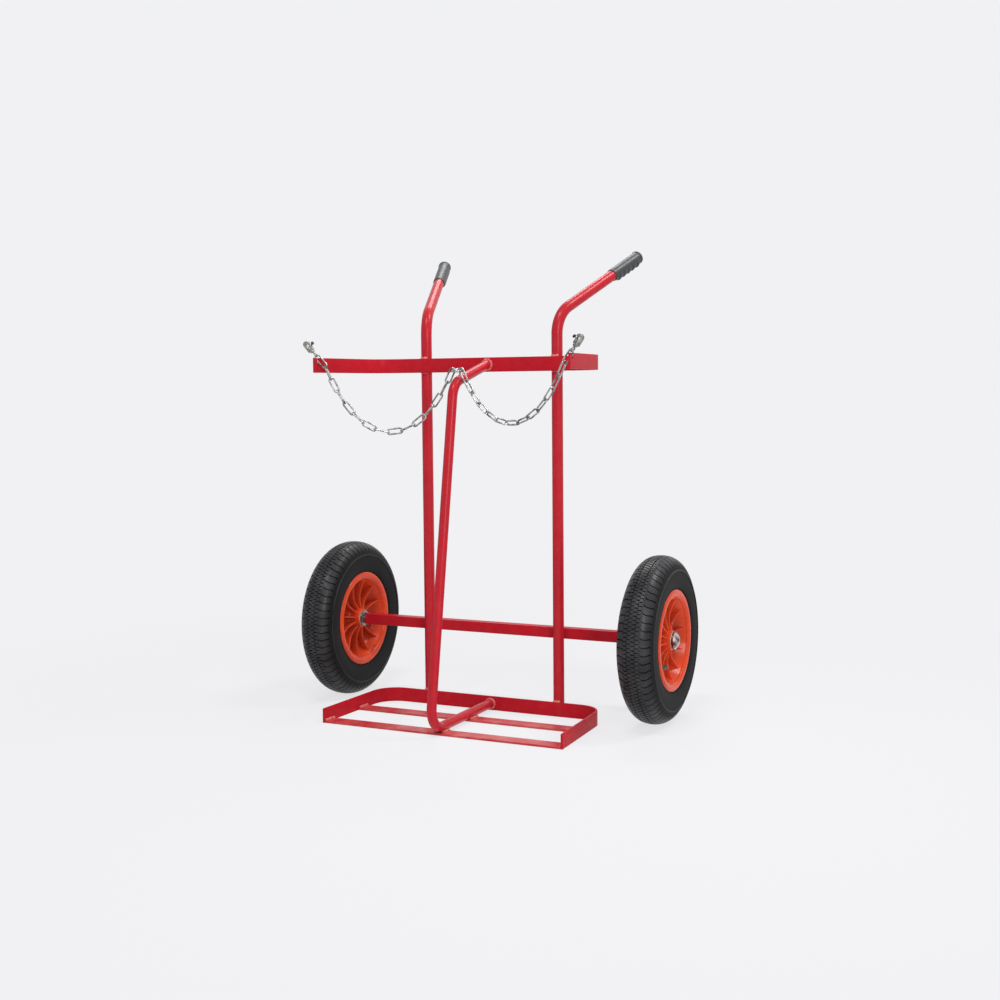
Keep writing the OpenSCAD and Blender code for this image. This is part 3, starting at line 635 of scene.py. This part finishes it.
def cut_slot(bar, sizes, end, inner, out):
    """Cuts a slot into the top bar's upper edge, near the end of a wing."""
    at = end + (inner - end).normalized() * sizes.slot_inset
    at.z = middle("top_bar").z + sizes.height / 2
    put_down()
    bpy.ops.mesh.primitive_cube_add(size=1.0)
    cutter = named("slot_cutter")
    turn = Matrix.Rotation(math.atan2(out.y, out.x), 4, "Z")
    size = Matrix.Diagonal((4 * sizes.thick, sizes.slot_width, 2 * sizes.slot_depth, 1.0))
    set_in_place(cutter, Matrix.Translation(at) @ turn @ size)
    apply_modifier(bar, "BOOLEAN", object=cutter, operation="DIFFERENCE", solver="EXACT")
    bpy.data.objects.remove(cutter)


class TROLLEY_OT_frame(bpy.types.Operator):
    """Paints the tubes and straight bars, and sweeps the bent bars of the tray and the top"""
    bl_idname = "trolley.frame"
    bl_label = "Frame"

    def execute(self, context):
        sizes = context.scene.trolley_bars
        finishes = context.scene.trolley_finishes
        dress(both("upright") + ("centre_tube",), red_enamel(finishes, "tube_enamel"))
        # Pale patches on the floor bars: rubbed paint, together with painted sheen
        dress(FLOOR_BARS, red_enamel(finishes, "rubbed_enamel", 16.0, 0.06, 0.50))
        satin = red_enamel(finishes, "bar_enamel", gloss=0.03)
        dress(("axle_beam",), satin)
        soften(FLOOR_BARS + ("axle_beam",), sizes.edge)
        section = bar_section(sizes.thick, sizes.height, sizes.edge)
        path = bar_path(sizes.tray_back, sizes.tray_front, sizes.tray_depth, sizes.tray_corner, sizes.line)
        tray = bent_bar("tray_flat_bar", path, section, middle("tray_wall").z)
        smooth(tray)
        hand_over(tray, "frame", "red_paint", satin, "tray_wall")
        path = bar_path(sizes.wing_back, sizes.wing_front, sizes.wing_depth, sizes.wing_corner, sizes.line)
        top = bent_bar("top_flat_bar", path, section, middle("top_bar").z)
        for (end, out), (inner, _) in ((path[0], path[1]), (path[-1], path[-2])):
            cut_slot(top, sizes, end, inner, out)
        smooth(top)
        hand_over(top, "frame", "red_paint", satin, "top_bar")
        return {"FINISHED"}


# Weld beads
UPRIGHT_RADIUS = 0.0135
# A bead beside an upright: from the tube's middle, off the bar, short of its edges; one across it: past its edge
BESIDE, OFF, SHORT, PAST = 0.0070, 0.0012, 0.0010, 0.0004
# A bead at a floor bar's end: short of the bar's edges, from the end at the front and at the rear, off the bar
STOP, END_FRONT, END_REAR, END_OFF = 0.003, 0.0007, 0.0034, 0.0006
# A bead beside the divider's foot: from its middle, off the floor bar, behind the tray's front edge
FOOT_REACH, FOOT_OFF, FOOT_START = 0.0095, 0.0010, 0.008
# A bead round one of the divider's ends: before the bar
RING_BEFORE = 0.0006


def arc_over(x, y, z, side, reach=0.0085, bow=0.0010):
    """A short bead across a tube where it lies against a bar's edge."""
    return [Vector((x + reach * u, y + side * bow * u * u, z)) for u in (-1, -0.6, -0.2, 0.2, 0.6, 1)]


def ring_path(centre, wide, high, count=28):
    """A bead round a tube's end, on a wall that faces forwards."""
    turns = [2 * math.pi * i / count for i in range(count)]
    return [centre + Vector((wide * math.cos(a), 0.0, high * math.sin(a))) for a in turns]


def bead_paths():
    """Centre lines of the weld beads: (points, closed, thickness factor)."""
    paths = []
    top_low, top_high = corners("top_bar")
    tray_low, tray_high = corners("tray_wall")
    beam_low, beam_high = corners("axle_beam")
    tube_low, tube_high = corners("centre_tube")
    back, front = top_high.y, beam_low.y

    def lay(points, factor):
        paths.append((points, False, factor))

    def lay_beside(x, y, low, high):
        for q in (-1, 1):
            at = x + q * BESIDE
            lay([Vector((at, y, low + SHORT)), Vector((at, y, high - SHORT))], 1.0)

    for side in SIDES.values():
        x = side * (corners("right_upright")[0].x + UPRIGHT_RADIUS)
        for low, high in ((top_low.z, top_high.z), (tray_low.z + STOP, tray_high.z)):
            lay_beside(x, back + OFF, low, high)
            lay(arc_over(x, back, high + PAST, 1), 1.8)
        lay(arc_over(x, back, top_low.z - PAST, 1), 0.8)
        lay_beside(x, front - OFF, beam_low.z, beam_high.z)
        lay(arc_over(x, front, beam_high.z + PAST, -1), 1.0)
        lay(arc_over(x, front, beam_low.z - PAST, -1), 0.9)
        for bar in FLOOR_BARS:
            low, high = corners(bar)
            z = high.z + END_OFF
            ends = ((high.x - END_FRONT, low.y + STOP), (high.x - END_REAR, high.y - STOP))
            lay([Vector((side * end_x, y, z)) for end_x, y in ends], 1.8)
    for bar, start in zip(FLOOR_BARS, (FOOT_START, STOP)):
        low, high = corners(bar)
        for q in (-1, 1):
            ends = (low.y + start, high.y - STOP)
            lay([Vector((q * FOOT_REACH, y, high.z + FOOT_OFF)) for y in ends], 1.8)
    tube = tube_high.x
    for z, stretch, factor in ((tube_low.z + tube, 1.0, 1.4), (middle("top_bar").z, 1.03, 1.5)):
        centre = Vector((0, tube_high.y - RING_BEFORE, z))
        paths.append((ring_path(centre, tube, tube * stretch), True, factor))
    return paths


def steps_along(points, closed, spacing):
    """Points at an even spacing along a path."""
    path = points + points[:1] if closed else points
    total = sum((b - a).length for a, b in zip(path, path[1:]))
    count = max(3, round(total / spacing))
    result = []
    for k in range(count + (0 if closed else 1)):
        left = total * k / count
        for a, b in zip(path, path[1:]):
            run = (b - a).length
            if left <= run or b is path[-1]:
                result.append(a.lerp(b, min(1.0, left / run)))
                break
            left -= run
    return result


class TROLLEY_OT_welds(bpy.types.Operator):
    """Lays rippled weld beads where the frame's tubes and bars meet"""
    bl_idname = "trolley.welds"
    bl_label = "Weld beads"

    def execute(self, context):
        sizes = context.scene.trolley_welds
        along_bead, from_bead_to_bead = 1.7, 2.3
        put_down()
        bpy.ops.object.add(type="CURVE", location=(0, 0, 0))
        line = named("weld_beads").data
        line.dimensions = "3D"
        line.bevel_depth = sizes.thick
        line.bevel_resolution = 1
        line.use_fill_caps = True
        for i, (points, closed, factor) in enumerate(bead_paths()):
            steps = steps_along(points, closed, sizes.ripple)
            spline = line.splines.new("POLY")
            spline.points.add(len(steps) - 1)
            spline.use_cyclic_u = closed
            for k, (point, at) in enumerate(zip(spline.points, steps)):
                drift = sizes.drift * math.sin(along_bead * k + from_bead_to_bead * i)
                point.co = (*at, 1.0)
                point.radius = factor * ((1.0 if k % 2 else sizes.valley) + drift)
        bpy.ops.object.convert(target="MESH")
        beads = named("weld_beads")
        close_up(beads)
        smooth(beads, 60)
        # The weld beads are painted pale: a painted highlight
        finish = red_enamel(context.scene.trolley_finishes, "weld_enamel", 90.0, 0.40, 1.0)
        hand_over(beads, "frame", "red_paint", finish)
        return {"FINISHED"}


# Tyres
# Angles on the tyre's curve at which the shoulder blocks have points
SHOULDER = (27, 35, 43, 51, 59, 66, 72, 77)
# The angle from which a shoulder groove leans
SHOULDER_START = 21
# Angles on the curves above and below the waist, and 1 where a ring stands on the sidewall
UPPER_SIDE = ((78.5, 0), (79.3, 1), (82.0, 1), (82.8, 0), (86, 0), (90, 0))
LOWER_SIDE = ((12, 0), (24, 0), (36, 0), (47, 0), (55, 0), (57, 1), (66, 1), (68, 0), (78, 0), (90, 0))
# How far the lower ring leans down, as a share of its height
LOWER_RING_DROP = 0.3
# The bead's chamfer and the width of its seat, and how far the walls of a groove lean in
BEAD_EDGE, BEAD_SEAT, WALL_LEAN = 0.001, 0.012, 0.00025
# The hollow inside, from the bead to the crown: (distance from the mid-plane, radius)
HOLLOW = ((0.0249, 0.1115), (0.0300, 0.1225), (0.0366, 0.1565), (0.0230, 0.1860), (0.0, 0.1880))
# Where the notches start and end along one pitch, and the block rows' sideways steps there
NOTCHES = (0.03, 0.19, 0.30, 0.42, 0.53, 0.69, 0.80, 0.92)
ZIGZAG = ((-0.08, -1.0), (0.05, 1.0), (0.17, 1.0), (0.30, -1.0), (0.42, -1.0), (0.55, 1.0), (0.67, 1.0),
          (0.80, -1.0), (0.92, -1.0), (1.05, 1.0))
# What is cut into each strip of the tread, and in which rows of the pitch
SLIT, NOTCH, GROOVE = 1, 2, 3
CUTS = {
    "slit": (SLIT, range(len(NOTCHES) + 1)),
    "row0": (NOTCH, (1, 5)),
    "row1": (NOTCH, (3, 7)),
    "shoulder_right": (GROOVE, (1,)),
    "shoulder_left": (GROOVE, (5,)),
}


def tyre_curve(sizes, degrees):
    """The tyre's outline above its waist: (distance from the mid-plane, radius)."""
    power = 2 / sizes.roundness
    a = math.radians(degrees)
    x = sizes.half_width * math.sin(a) ** power
    r = sizes.waist + (sizes.radius - sizes.waist) * max(0.0, math.cos(a)) ** power
    return x, r


def crown_radius(sizes, x):
    """The tyre's radius at a distance from its mid-plane."""
    a = math.asin(min(1.0, (abs(x) / sizes.half_width) ** (sizes.roundness / 2)))
    return tyre_curve(sizes, math.degrees(a))[1]


def side_curve(sizes, degrees):
    """The tyre's outline below its waist."""
    a = math.radians(degrees)
    return (
        sizes.bead_half + (sizes.half_width - sizes.bead_half) * math.cos(a),
        sizes.waist - (sizes.waist - sizes.foot) * math.sin(a),
    )


def right_side(sizes):
    """Columns from the right shoulder to the bead: (x, radius, strip, shoulder share)."""
    columns = []
    last = SHOULDER[-1]
    for a in SHOULDER:
        strip = "plain" if a == last else "shoulder_right"
        columns.append((*tyre_curve(sizes, a), strip, (a - SHOULDER_START) / (last - SHOULDER_START)))
    for a, ring in UPPER_SIDE:
        x, r = tyre_curve(sizes, a)
        rise, out = ring * sizes.rib, math.radians(a)
        columns.append((x + rise * math.sin(out), r + rise * math.cos(out), "plain", 1.0))
    for a, ring in LOWER_SIDE:
        x, r = side_curve(sizes, a)
        rise, out = ring * sizes.rib, math.radians(a)
        columns.append((x + rise * math.cos(out), r - rise * math.sin(out) * LOWER_RING_DROP, "plain", 1.0))
    for inwards, up in ((0.0, BEAD_EDGE), (BEAD_EDGE, 0.0), (BEAD_SEAT, 0.0)):
        columns.append((sizes.bead_half - inwards, sizes.bead + up, "plain", 1.0))
    return columns


def tyre_columns(sizes):
    """Columns round the tyre's section: (x, radius, strip that follows, zigzag or not, shoulder share)."""
    tread = []
    half_slit = sizes.slit / 2
    for k in range(-2, 3):
        x = k * sizes.row
        tread.append((x - half_slit, "slit"))
        if k < 2:
            tread += [(x + half_slit, f"row{k % 2}"), (x + sizes.row / 2, f"row{k % 2}")]
    tread.append((2 * sizes.row + half_slit, "shoulder_right"))
    right = right_side(sizes)
    left = right[::-1]
    follows = [strip.replace("right", "left") for _, _, strip, _ in left[1:]] + ["shoulder_left"]
    columns = [(-x, r, strip, False, share) for (x, r, _, share), strip in zip(left, follows)]
    columns += [(x, crown_radius(sizes, x), strip, True, 0.0) for x, strip in tread]
    columns += [(x, r, strip, False, share) for x, r, strip, share in right]
    columns += [(x, r, "plain", False, 1.0) for x, r in HOLLOW]
    columns += [(-x, r, "plain", False, 1.0) for x, r in HOLLOW[-2::-1]]
    return columns + columns[:1]


def zigzag_at(v):
    """Sideways step of the block rows along one pitch."""
    for (a, low), (b, high) in zip(ZIGZAG, ZIGZAG[1:]):
        if a <= v <= b:
            return low + (high - low) * (v - a) / (b - a)
    raise ValueError("the tread's pitch runs from 0 to 1")


def cut_kind(strip, row):
    """What is cut into a face of the sheet: 0 for nothing."""
    kind, rows = CUTS.get(strip, (0, ()))
    return kind if row in rows else 0


def tread_pitch(sizes):
    """One pitch of the tyre: a sheet laid round the section, its grooves sunk in by inset."""
    columns = tyre_columns(sizes)
    rows = (0.0, *NOTCHES, 1.0)
    across, along = len(columns) - 1, len(rows) - 1
    sheet = new_sheet("tyre_pitch", across, along)
    mesh = sheet.data
    marks = mesh.attributes.new("groove", "INT", "FACE")
    for face in mesh.polygons:
        i = int((face.center.x + 0.5) * across)
        j = int((face.center.y + 0.5) * along)
        marks.data[face.index].value = cut_kind(columns[i][2], j)
    pitch = 2 * math.pi / sizes.pitches
    for point in mesh.vertices:
        x, r, _, zigzags, share = columns[round((point.co.x + 0.5) * across)]
        v = rows[round((point.co.y + 0.5) * along)]
        if zigzags:
            x += sizes.zigzag * zigzag_at(v)
            r = crown_radius(sizes, x)
        sign = 1 if x > 0 else -1
        turn = (v + sign * (sizes.lean * share + sizes.sway * math.sin(2 * math.pi * share))) * pitch
        point.co = (x, r * math.cos(turn), r * math.sin(turn))
    close_up(sheet)
    # Faces on the hollow side look inwards and are left out
    flatter, facing_out = 0.6, 0.5
    for kind, depth in ((SLIT, sizes.slit_depth), (NOTCH, sizes.notch_depth), (GROOVE, sizes.groove_depth)):
        take(sheet)
        mode("EDIT")
        bpy.ops.mesh.select_mode(type="FACE")
        bpy.ops.mesh.select_all(action="DESELECT")
        mode("OBJECT")
        marks = mesh.attributes["groove"]
        for face in mesh.polygons:
            outward = Vector((face.center.x * flatter, face.center.y, face.center.z)).normalized()
            face.select = marks.data[face.index].value == kind and face.normal.dot(outward) > facing_out
        mode("EDIT")
        bpy.ops.mesh.inset(thickness=WALL_LEAN, depth=-depth, use_boundary=False)
        mode("OBJECT")
    return sheet


class TROLLEY_OT_tyres(bpy.types.Operator):
    """Models one pitch of tread, repeats it round the tyre and copies the tyre to the other wheel"""
    bl_idname = "trolley.tyres"
    bl_label = "Tyres"

    def execute(self, context):
        sizes = context.scene.trolley_tyre
        rubber = tyre_rubber(context.scene.trolley_finishes)
        tyre = tread_pitch(sizes)
        repeat_round(tyre, sizes.pitches)
        close_up(tyre, SEAM)
        smooth(tyre, 38)
        tyre.data.attributes.remove(tyre.data.attributes["groove"])
        for side, sign in SIDES.items():
            piece = copy_of(tyre, f"{side}_treaded_tyre")
            set_in_place(piece, Matrix.Translation(middle(f"{side}_tyre")) @ half_turn(sign))
            hand_over(piece, f"{side}_wheel", "tyre_rubber", rubber, f"{side}_tyre")
        bpy.data.objects.remove(tyre)
        dress(both("inner_tube"), rubber)
        return {"FINISHED"}


# Rims
# The lip's thickness behind the rim's face; the rounding of the dish's floor, its height and its reach
LIP_BACK = 0.0026
FILLET, FILLET_RISE, FILLET_RUN = 0.006, 0.007, 0.009
# How far a fin starts below the hub's end, how deep it stands in the floor and in the hub, and short of the barrel
FIN_DROP, FIN_SINK, FIN_IN_HUB, FIN_SHORT = 0.004, 0.0015, 0.004, 0.001


def rim_outline(sizes):
    """Section of one half of the rim, from its bore over the barrel and the lip into the dish: (radius, along)."""
    lip, mouth, half, soft = sizes.lip, sizes.mouth, sizes.half, sizes.soft
    floor, hub, web = sizes.floor, sizes.hub, sizes.web
    back, top, rise = half - LIP_BACK, half + sizes.crown, web + FILLET_RISE
    barrel = (
        (sizes.bore, 0.0, 0), (sizes.barrel, 0.0, 0), (sizes.barrel, back, 0.0005))
    bulging_lip = (
        (lip - 0.0015, back, 0.0008), (lip, half - 0.0012, 0.0012), (lip - 0.0016, half + 0.0006, soft),
        (lip - 0.0055, top, soft), (mouth + 0.0070, top, soft), (mouth + 0.0024, half + 0.0004, soft),
        (mouth - 0.0016, half - 0.0060, soft))
    dish = (
        (floor, rise, FILLET), (floor - FILLET_RUN, web, FILLET), (hub + FILLET_RUN, web, FILLET),
        (hub + 0.0015, rise, FILLET))
    hub_end = (
        (hub, sizes.hub_half, soft), (sizes.bore, sizes.hub_half, 0.0006))
    return rounded(barrel + bulging_lip + dish + hub_end)


def rim_fin(sizes):
    """One fin between the hub and the dish's wall, its free edge sagging and rounded."""
    inner, outer = sizes.hub - FIN_IN_HUB, sizes.barrel - FIN_SHORT
    low = sizes.web - FIN_SINK
    shallower_outwards, rounding = 0.35, 0.42
    fin = new_sheet("rim_fin", across=14, along=2)
    for point in fin.data.vertices:
        s = point.co.x + 0.5
        sag = sizes.fin_sag * math.sin(math.pi * s) * (1 - shallower_outwards * s)
        top = sizes.hub_half - FIN_DROP - sag
        point.co = (low + (top - low) * (point.co.y + 0.5), inner + (outer - inner) * s, 0.0)
    apply_modifier(fin, "SOLIDIFY", thickness=sizes.fin, offset=0.0)
    apply_modifier(
        fin, "BEVEL", width=sizes.fin * rounding, segments=3, limit_method="ANGLE", angle_limit=math.radians(50))
    return fin


class TROLLEY_OT_rims(bpy.types.Operator):
    """Turns one half of the rim, adds its fins and copies it to the four halves"""
    bl_idname = "trolley.rims"
    bl_label = "Rims"

    def execute(self, context):
        sizes = context.scene.trolley_rim
        plastic = moulded_rim(context.scene.trolley_finishes)
        half = turned("rim_half", rim_outline(sizes), steps=120)
        fin = rim_fin(sizes)
        repeat_round(fin, sizes.fins)
        close_up(fin)
        take(half, fin)
        bpy.ops.object.join()
        smooth(half, 40)
        for side, sign in SIDES.items():
            spun = Matrix.Rotation(sizes.left_turn if sign < 0 else sizes.right_turn, 4, "X")
            for which, facing in (("outer", sign), ("inner", -sign)):
                piece = copy_of(half, f"{side}_rim_{which}")
                set_in_place(piece, Matrix.Translation(middle(f"{side}_tyre")) @ spun @ half_turn(facing))
                hand_over(piece, f"{side}_wheel", "rim_plastic", plastic, f"{side}_rim_{which}_half")
        bpy.data.objects.remove(half)
        return {"FINISHED"}


# Grips
# The closed end: (share of the collar's radius, distance from the end)
GRIP_END = ((0.0, 0.0), (0.6, 0.0002), (0.88, 0.0008), (1.0, 0.0024), (1.0, 0.0058))
COLLAR_FOOT = 0.0075
# The open end: (depth below the body's radius, distance from the mouth)
GRIP_MOUTH = ((0.0, 0.0050), (0.0, 0.0008), (0.0006, 0.0))
# From the mouth to the first ridge, and from the last one to the closed end
FIRST_RIDGE, LAST_RIDGE = 0.0085, 0.0105


def grip_outline(sizes, start, finish, steps=52):
    """Section of a grip, from its closed end to its mouth and back through its bore: (radius, along)."""
    total = sizes.sleeve + sizes.end
    outline = [(sizes.collar * share, total - back) for share, back in GRIP_END]
    outline.append((sizes.body, total - COLLAR_FOOT))
    outline += [(sizes.body, finish + (start - finish) * k / steps) for k in range(steps + 1)]
    outline += [(sizes.body - depth, along) for depth, along in GRIP_MOUTH]
    return outline + [(sizes.bore, 0.0), (sizes.bore, sizes.sleeve), (0.0, sizes.sleeve)]


def handle_place(sizes, sign):
    """Where a grip sits: X along the handle, Z up, its origin at the grip's mouth."""
    run = Vector((
        sign * math.sin(sizes.splay) * math.cos(sizes.rise),
        math.cos(sizes.splay) * math.cos(sizes.rise),
        math.sin(sizes.rise),
    ))
    sideways = Vector((0, 0, 1)).cross(run).normalized()
    upward = run.cross(sideways)
    mouth = Vector(sizes.handle_foot)
    mouth.x *= sign
    mouth += run * (sizes.handle_len - sizes.sleeve)
    matrix = Matrix((run, sideways, upward)).transposed().to_4x4()
    matrix.translation = mouth
    return matrix


class TROLLEY_OT_grips(bpy.types.Operator):
    """Turns one grip, raises its finger ridges and copies it to the other handle"""
    bl_idname = "trolley.grips"
    bl_label = "Grips"

    def execute(self, context):
        sizes = context.scene.trolley_grip
        rubber = grip_rubber(context.scene.trolley_finishes)
        start, finish = FIRST_RIDGE, sizes.sleeve + sizes.end - LAST_RIDGE
        grip = turned("handle_grip", grip_outline(sizes, start, finish), steps=40)
        pitch = (finish - start) / sizes.ridges
        bore_wall = sizes.bore + 0.0005
        fade_upwards = 1.1
        for point in grip.data.vertices:
            radius = math.hypot(point.co.y, point.co.z)
            if radius < bore_wall or not start <= point.co.x <= finish:
                continue
            under = max(0.0, -point.co.z / radius) ** fade_upwards
            wave = 0.5 - 0.5 * math.cos(2 * math.pi * (point.co.x - start) / pitch)
            grow = 1 + sizes.ridge * under * wave / radius
            point.co.y *= grow
            point.co.z *= grow
        apply_modifier(grip, "SUBSURF", levels=1, render_levels=1)
        smooth(grip, 60)
        for side, sign in SIDES.items():
            piece = copy_of(grip, f"{side}_ridged_grip")
            set_in_place(piece, handle_place(sizes, sign))
            hand_over(piece, "frame", "grip_rubber", rubber, f"{side}_grip")
        bpy.data.objects.remove(grip)
        return {"FINISHED"}


class TROLLEY_OT_fittings(bpy.types.Operator):
    """Finishes the chains, snap hooks, axle steel, bushes, caps and valves"""
    bl_idname = "trolley.fittings"
    bl_label = "Fittings"

    def execute(self, context):
        finishes = context.scene.trolley_finishes
        zinc = plated_metal(finishes.zinc, "chain_zinc", 0.28, 0.35, 1.6, 0.12)
        steel = plated_metal(finishes.steel, "axle_zinc", 0.30, 0.45, 1.5)
        dress(both("chain", "end_link") + ("chain_eye",), zinc)
        dress(both("snap_eye", "snap_hook"), plated_metal(finishes.casting, "snap_casting", 0.42, 0.6, 1.5, 0.12))
        dress(both("snap_bolt"), plated_metal(finishes.blued, "blued_steel", 0.34, 0.6, 2.0))
        dress(both("valve") + AXLE_RINGS + ("axle_rod",), steel)
        dress(both("axle_cap"), bright_chrome(finishes))
        dress(both("outer_bush", "inner_bush"), cast_nylon(finishes))
        dress(both("valve_cap"), cap_plastic(finishes))
        soften(both("snap_hook"), 0.0008)
        soften(AXLE_RINGS, 0.0004)
        return {"FINISHED"}


# Stage
# Each softbox: the setting that holds its power, where it stands, what it is aimed at, its width and its depth
SOFTBOXES = (
    ("key", (2.0, 1.05, 3.9), (0.1, 0, 0.6), 1.0, 1.0),
    ("back", (-0.7, 2.5, 3.9), (0.1, 0, 0.6), 1.8, 1.2),
    ("front", (0.3, -1.8, 3.9), (0, 0, 0.5), 1.2, 0.6),
    ("side", (3.0, -2.6, 1.9), (0, 0, 0.5), 0.8, 1.6),
    ("fill", (-2.4, -3.0, 1.8), (0, 0, 0.5), 2.0, 2.0),
)
# How far the floor lies below the tyres
FLOOR_DROP = 0.0004


def softbox(name, at, aim, wide, deep, power):
    """A rectangular area light aimed at a point."""
    put_down()
    bpy.ops.object.light_add(type="AREA", location=at)
    lamp = named(name)
    lamp.data.shape = "RECTANGLE"
    lamp.data.size = wide
    lamp.data.size_y = deep
    lamp.data.energy = power
    lamp.rotation_euler = (Vector(aim) - Vector(at)).to_track_quat("-Z", "Y").to_euler()


def pale_seen_direct(tree):
    """A value that is 1 for what the camera sees directly, mirrored or through glass."""
    rays = tree.nodes.new("ShaderNodeLightPath").outputs
    total = rays["Is Camera Ray"]
    for other in ("Is Glossy Ray", "Is Transmission Ray"):
        total = added(tree, "Math", {0: total, 1: rays[other]}, operation="MAXIMUM")
    return total


def mixed_out(tree, share, first, second, kind):
    """Mixes two shaders by a share and sends them to the tree's output."""
    added(tree, kind, {"Surface": added(tree, "MixShader", {0: share, 1: first, 2: second})})


def pale_floor(settings):
    """A wide floor that takes the trolley's shadow near it and is evenly pale further out."""
    put_down()
    bpy.ops.mesh.primitive_plane_add(size=settings.floor_size, location=(0, 0, -FLOOR_DROP))
    floor = named("pale_floor")
    bpy.ops.object.transform_apply(location=True, rotation=True, scale=True)
    finish = bpy.data.materials.new("pale_floor")
    finish.use_nodes = True
    tree = finish.node_tree
    tree.nodes.clear()
    shade = (*settings.floor, 1.0)
    matt = added(tree, "BsdfDiffuse", {"Color": shade})
    glow = added(tree, "Emission", {"Color": shade, "Strength": 1.0})
    where = tree.nodes.new("ShaderNodeTexCoord").outputs["Object"]
    reach = added(tree, "VectorMath", {0: where}, "Value", operation="LENGTH")
    glows = spread(tree, reach, settings.floor_near, settings.floor_far, settings.floor_glow, 1.0)
    share = added(tree, "Math", {0: pale_seen_direct(tree), 1: glows}, operation="MULTIPLY")
    mixed_out(tree, share, matt, glow, "OutputMaterial")
    floor.data.materials.append(finish)


def studio_world(settings):
    """Even light from all round, behind which the background is seen as pale as the floor."""
    world = bpy.data.worlds.new("studio")
    bpy.context.scene.world = world
    world.use_nodes = True
    tree = world.node_tree
    tree.nodes.clear()
    even = added(tree, "Background", {"Color": (*settings.sky, 1.0), "Strength": settings.ambient})
    pale = added(tree, "Background", {"Color": (*settings.floor, 1.0), "Strength": 1.0})
    mixed_out(tree, pale_seen_direct(tree), even, pale, "OutputWorld")


def photo_camera(settings):
    """The camera at the photograph's viewing angle."""
    put_down()
    bpy.ops.object.camera_add(location=settings.camera_at)
    camera = bpy.context.object
    camera.name = "photo_camera"
    ahead = (Vector(settings.camera_aim) - Vector(settings.camera_at)).normalized()
    level = ahead.cross(Vector((0, 0, 1))).normalized()
    down = ahead.cross(level)
    roll = settings.camera_roll
    right = level * math.cos(roll) + down * math.sin(roll)
    below = down * math.cos(roll) - level * math.sin(roll)
    camera.rotation_euler = Matrix((right, -below, -ahead)).transposed().to_euler()
    camera.data.sensor_fit = "HORIZONTAL"
    camera.data.sensor_width = 36.0
    camera.data.lens = settings.lens
    camera.data.clip_end = 100.0
    bpy.context.scene.camera = camera


class TROLLEY_OT_stage(bpy.types.Operator):
    """Sets the pale floor, the studio light and the camera"""
    bl_idname = "trolley.stage"
    bl_label = "Stage"

    def execute(self, context):
        settings = context.scene.trolley_stage
        pale_floor(settings)
        studio_world(settings)
        for name, at, aim, wide, deep in SOFTBOXES:
            softbox(f"{name}_softbox", at, aim, wide, deep, getattr(settings, name))
        photo_camera(settings)
        context.scene.view_settings.view_transform = "Standard"
        return {"FINISHED"}


GROUPS = (
    ("trolley_finishes", TrolleyFinishes), ("trolley_tyre", TrolleyTyre), ("trolley_rim", TrolleyRim),
    ("trolley_grip", TrolleyGrip), ("trolley_bars", TrolleyBars), ("trolley_welds", TrolleyWelds),
    ("trolley_stage", TrolleyStage),
)
OPERATORS = (
    TROLLEY_OT_frame, TROLLEY_OT_welds, TROLLEY_OT_tyres, TROLLEY_OT_rims, TROLLEY_OT_grips,
    TROLLEY_OT_fittings, TROLLEY_OT_stage,
)


class TROLLEY_PT_panel(bpy.types.Panel):
    """Sizes, colours and steps of the trolley"""
    bl_idname = "TROLLEY_PT_panel"
    bl_label = "Gas cylinder trolley"
    bl_space_type = "VIEW_3D"
    bl_region_type = "UI"
    bl_category = "Trolley"

    def draw(self, context):
        for operator in OPERATORS:
            self.layout.operator(operator.bl_idname)
        for name, group in GROUPS:
            box = self.layout.box()
            box.label(text=group.__doc__)
            for key in group.__annotations__:
                box.prop(getattr(context.scene, name), key)


def register():
    for name, group in GROUPS:
        bpy.utils.register_class(group)
        setattr(bpy.types.Scene, name, bpy.props.PointerProperty(type=group))
    for operator in OPERATORS:
        bpy.utils.register_class(operator)
    bpy.utils.register_class(TROLLEY_PT_panel)


def unregister():
    bpy.utils.unregister_class(TROLLEY_PT_panel)
    for operator in reversed(OPERATORS):
        bpy.utils.unregister_class(operator)
    for name, group in reversed(GROUPS):
        delattr(bpy.types.Scene, name)
        bpy.utils.unregister_class(group)


def main():
    register()
    bpy.ops.trolley.frame()
    bpy.ops.trolley.welds()
    bpy.ops.trolley.tyres()
    bpy.ops.trolley.rims()
    bpy.ops.trolley.grips()
    bpy.ops.trolley.fittings()
    bpy.ops.trolley.stage()


if __name__ == "__main__":
    main()
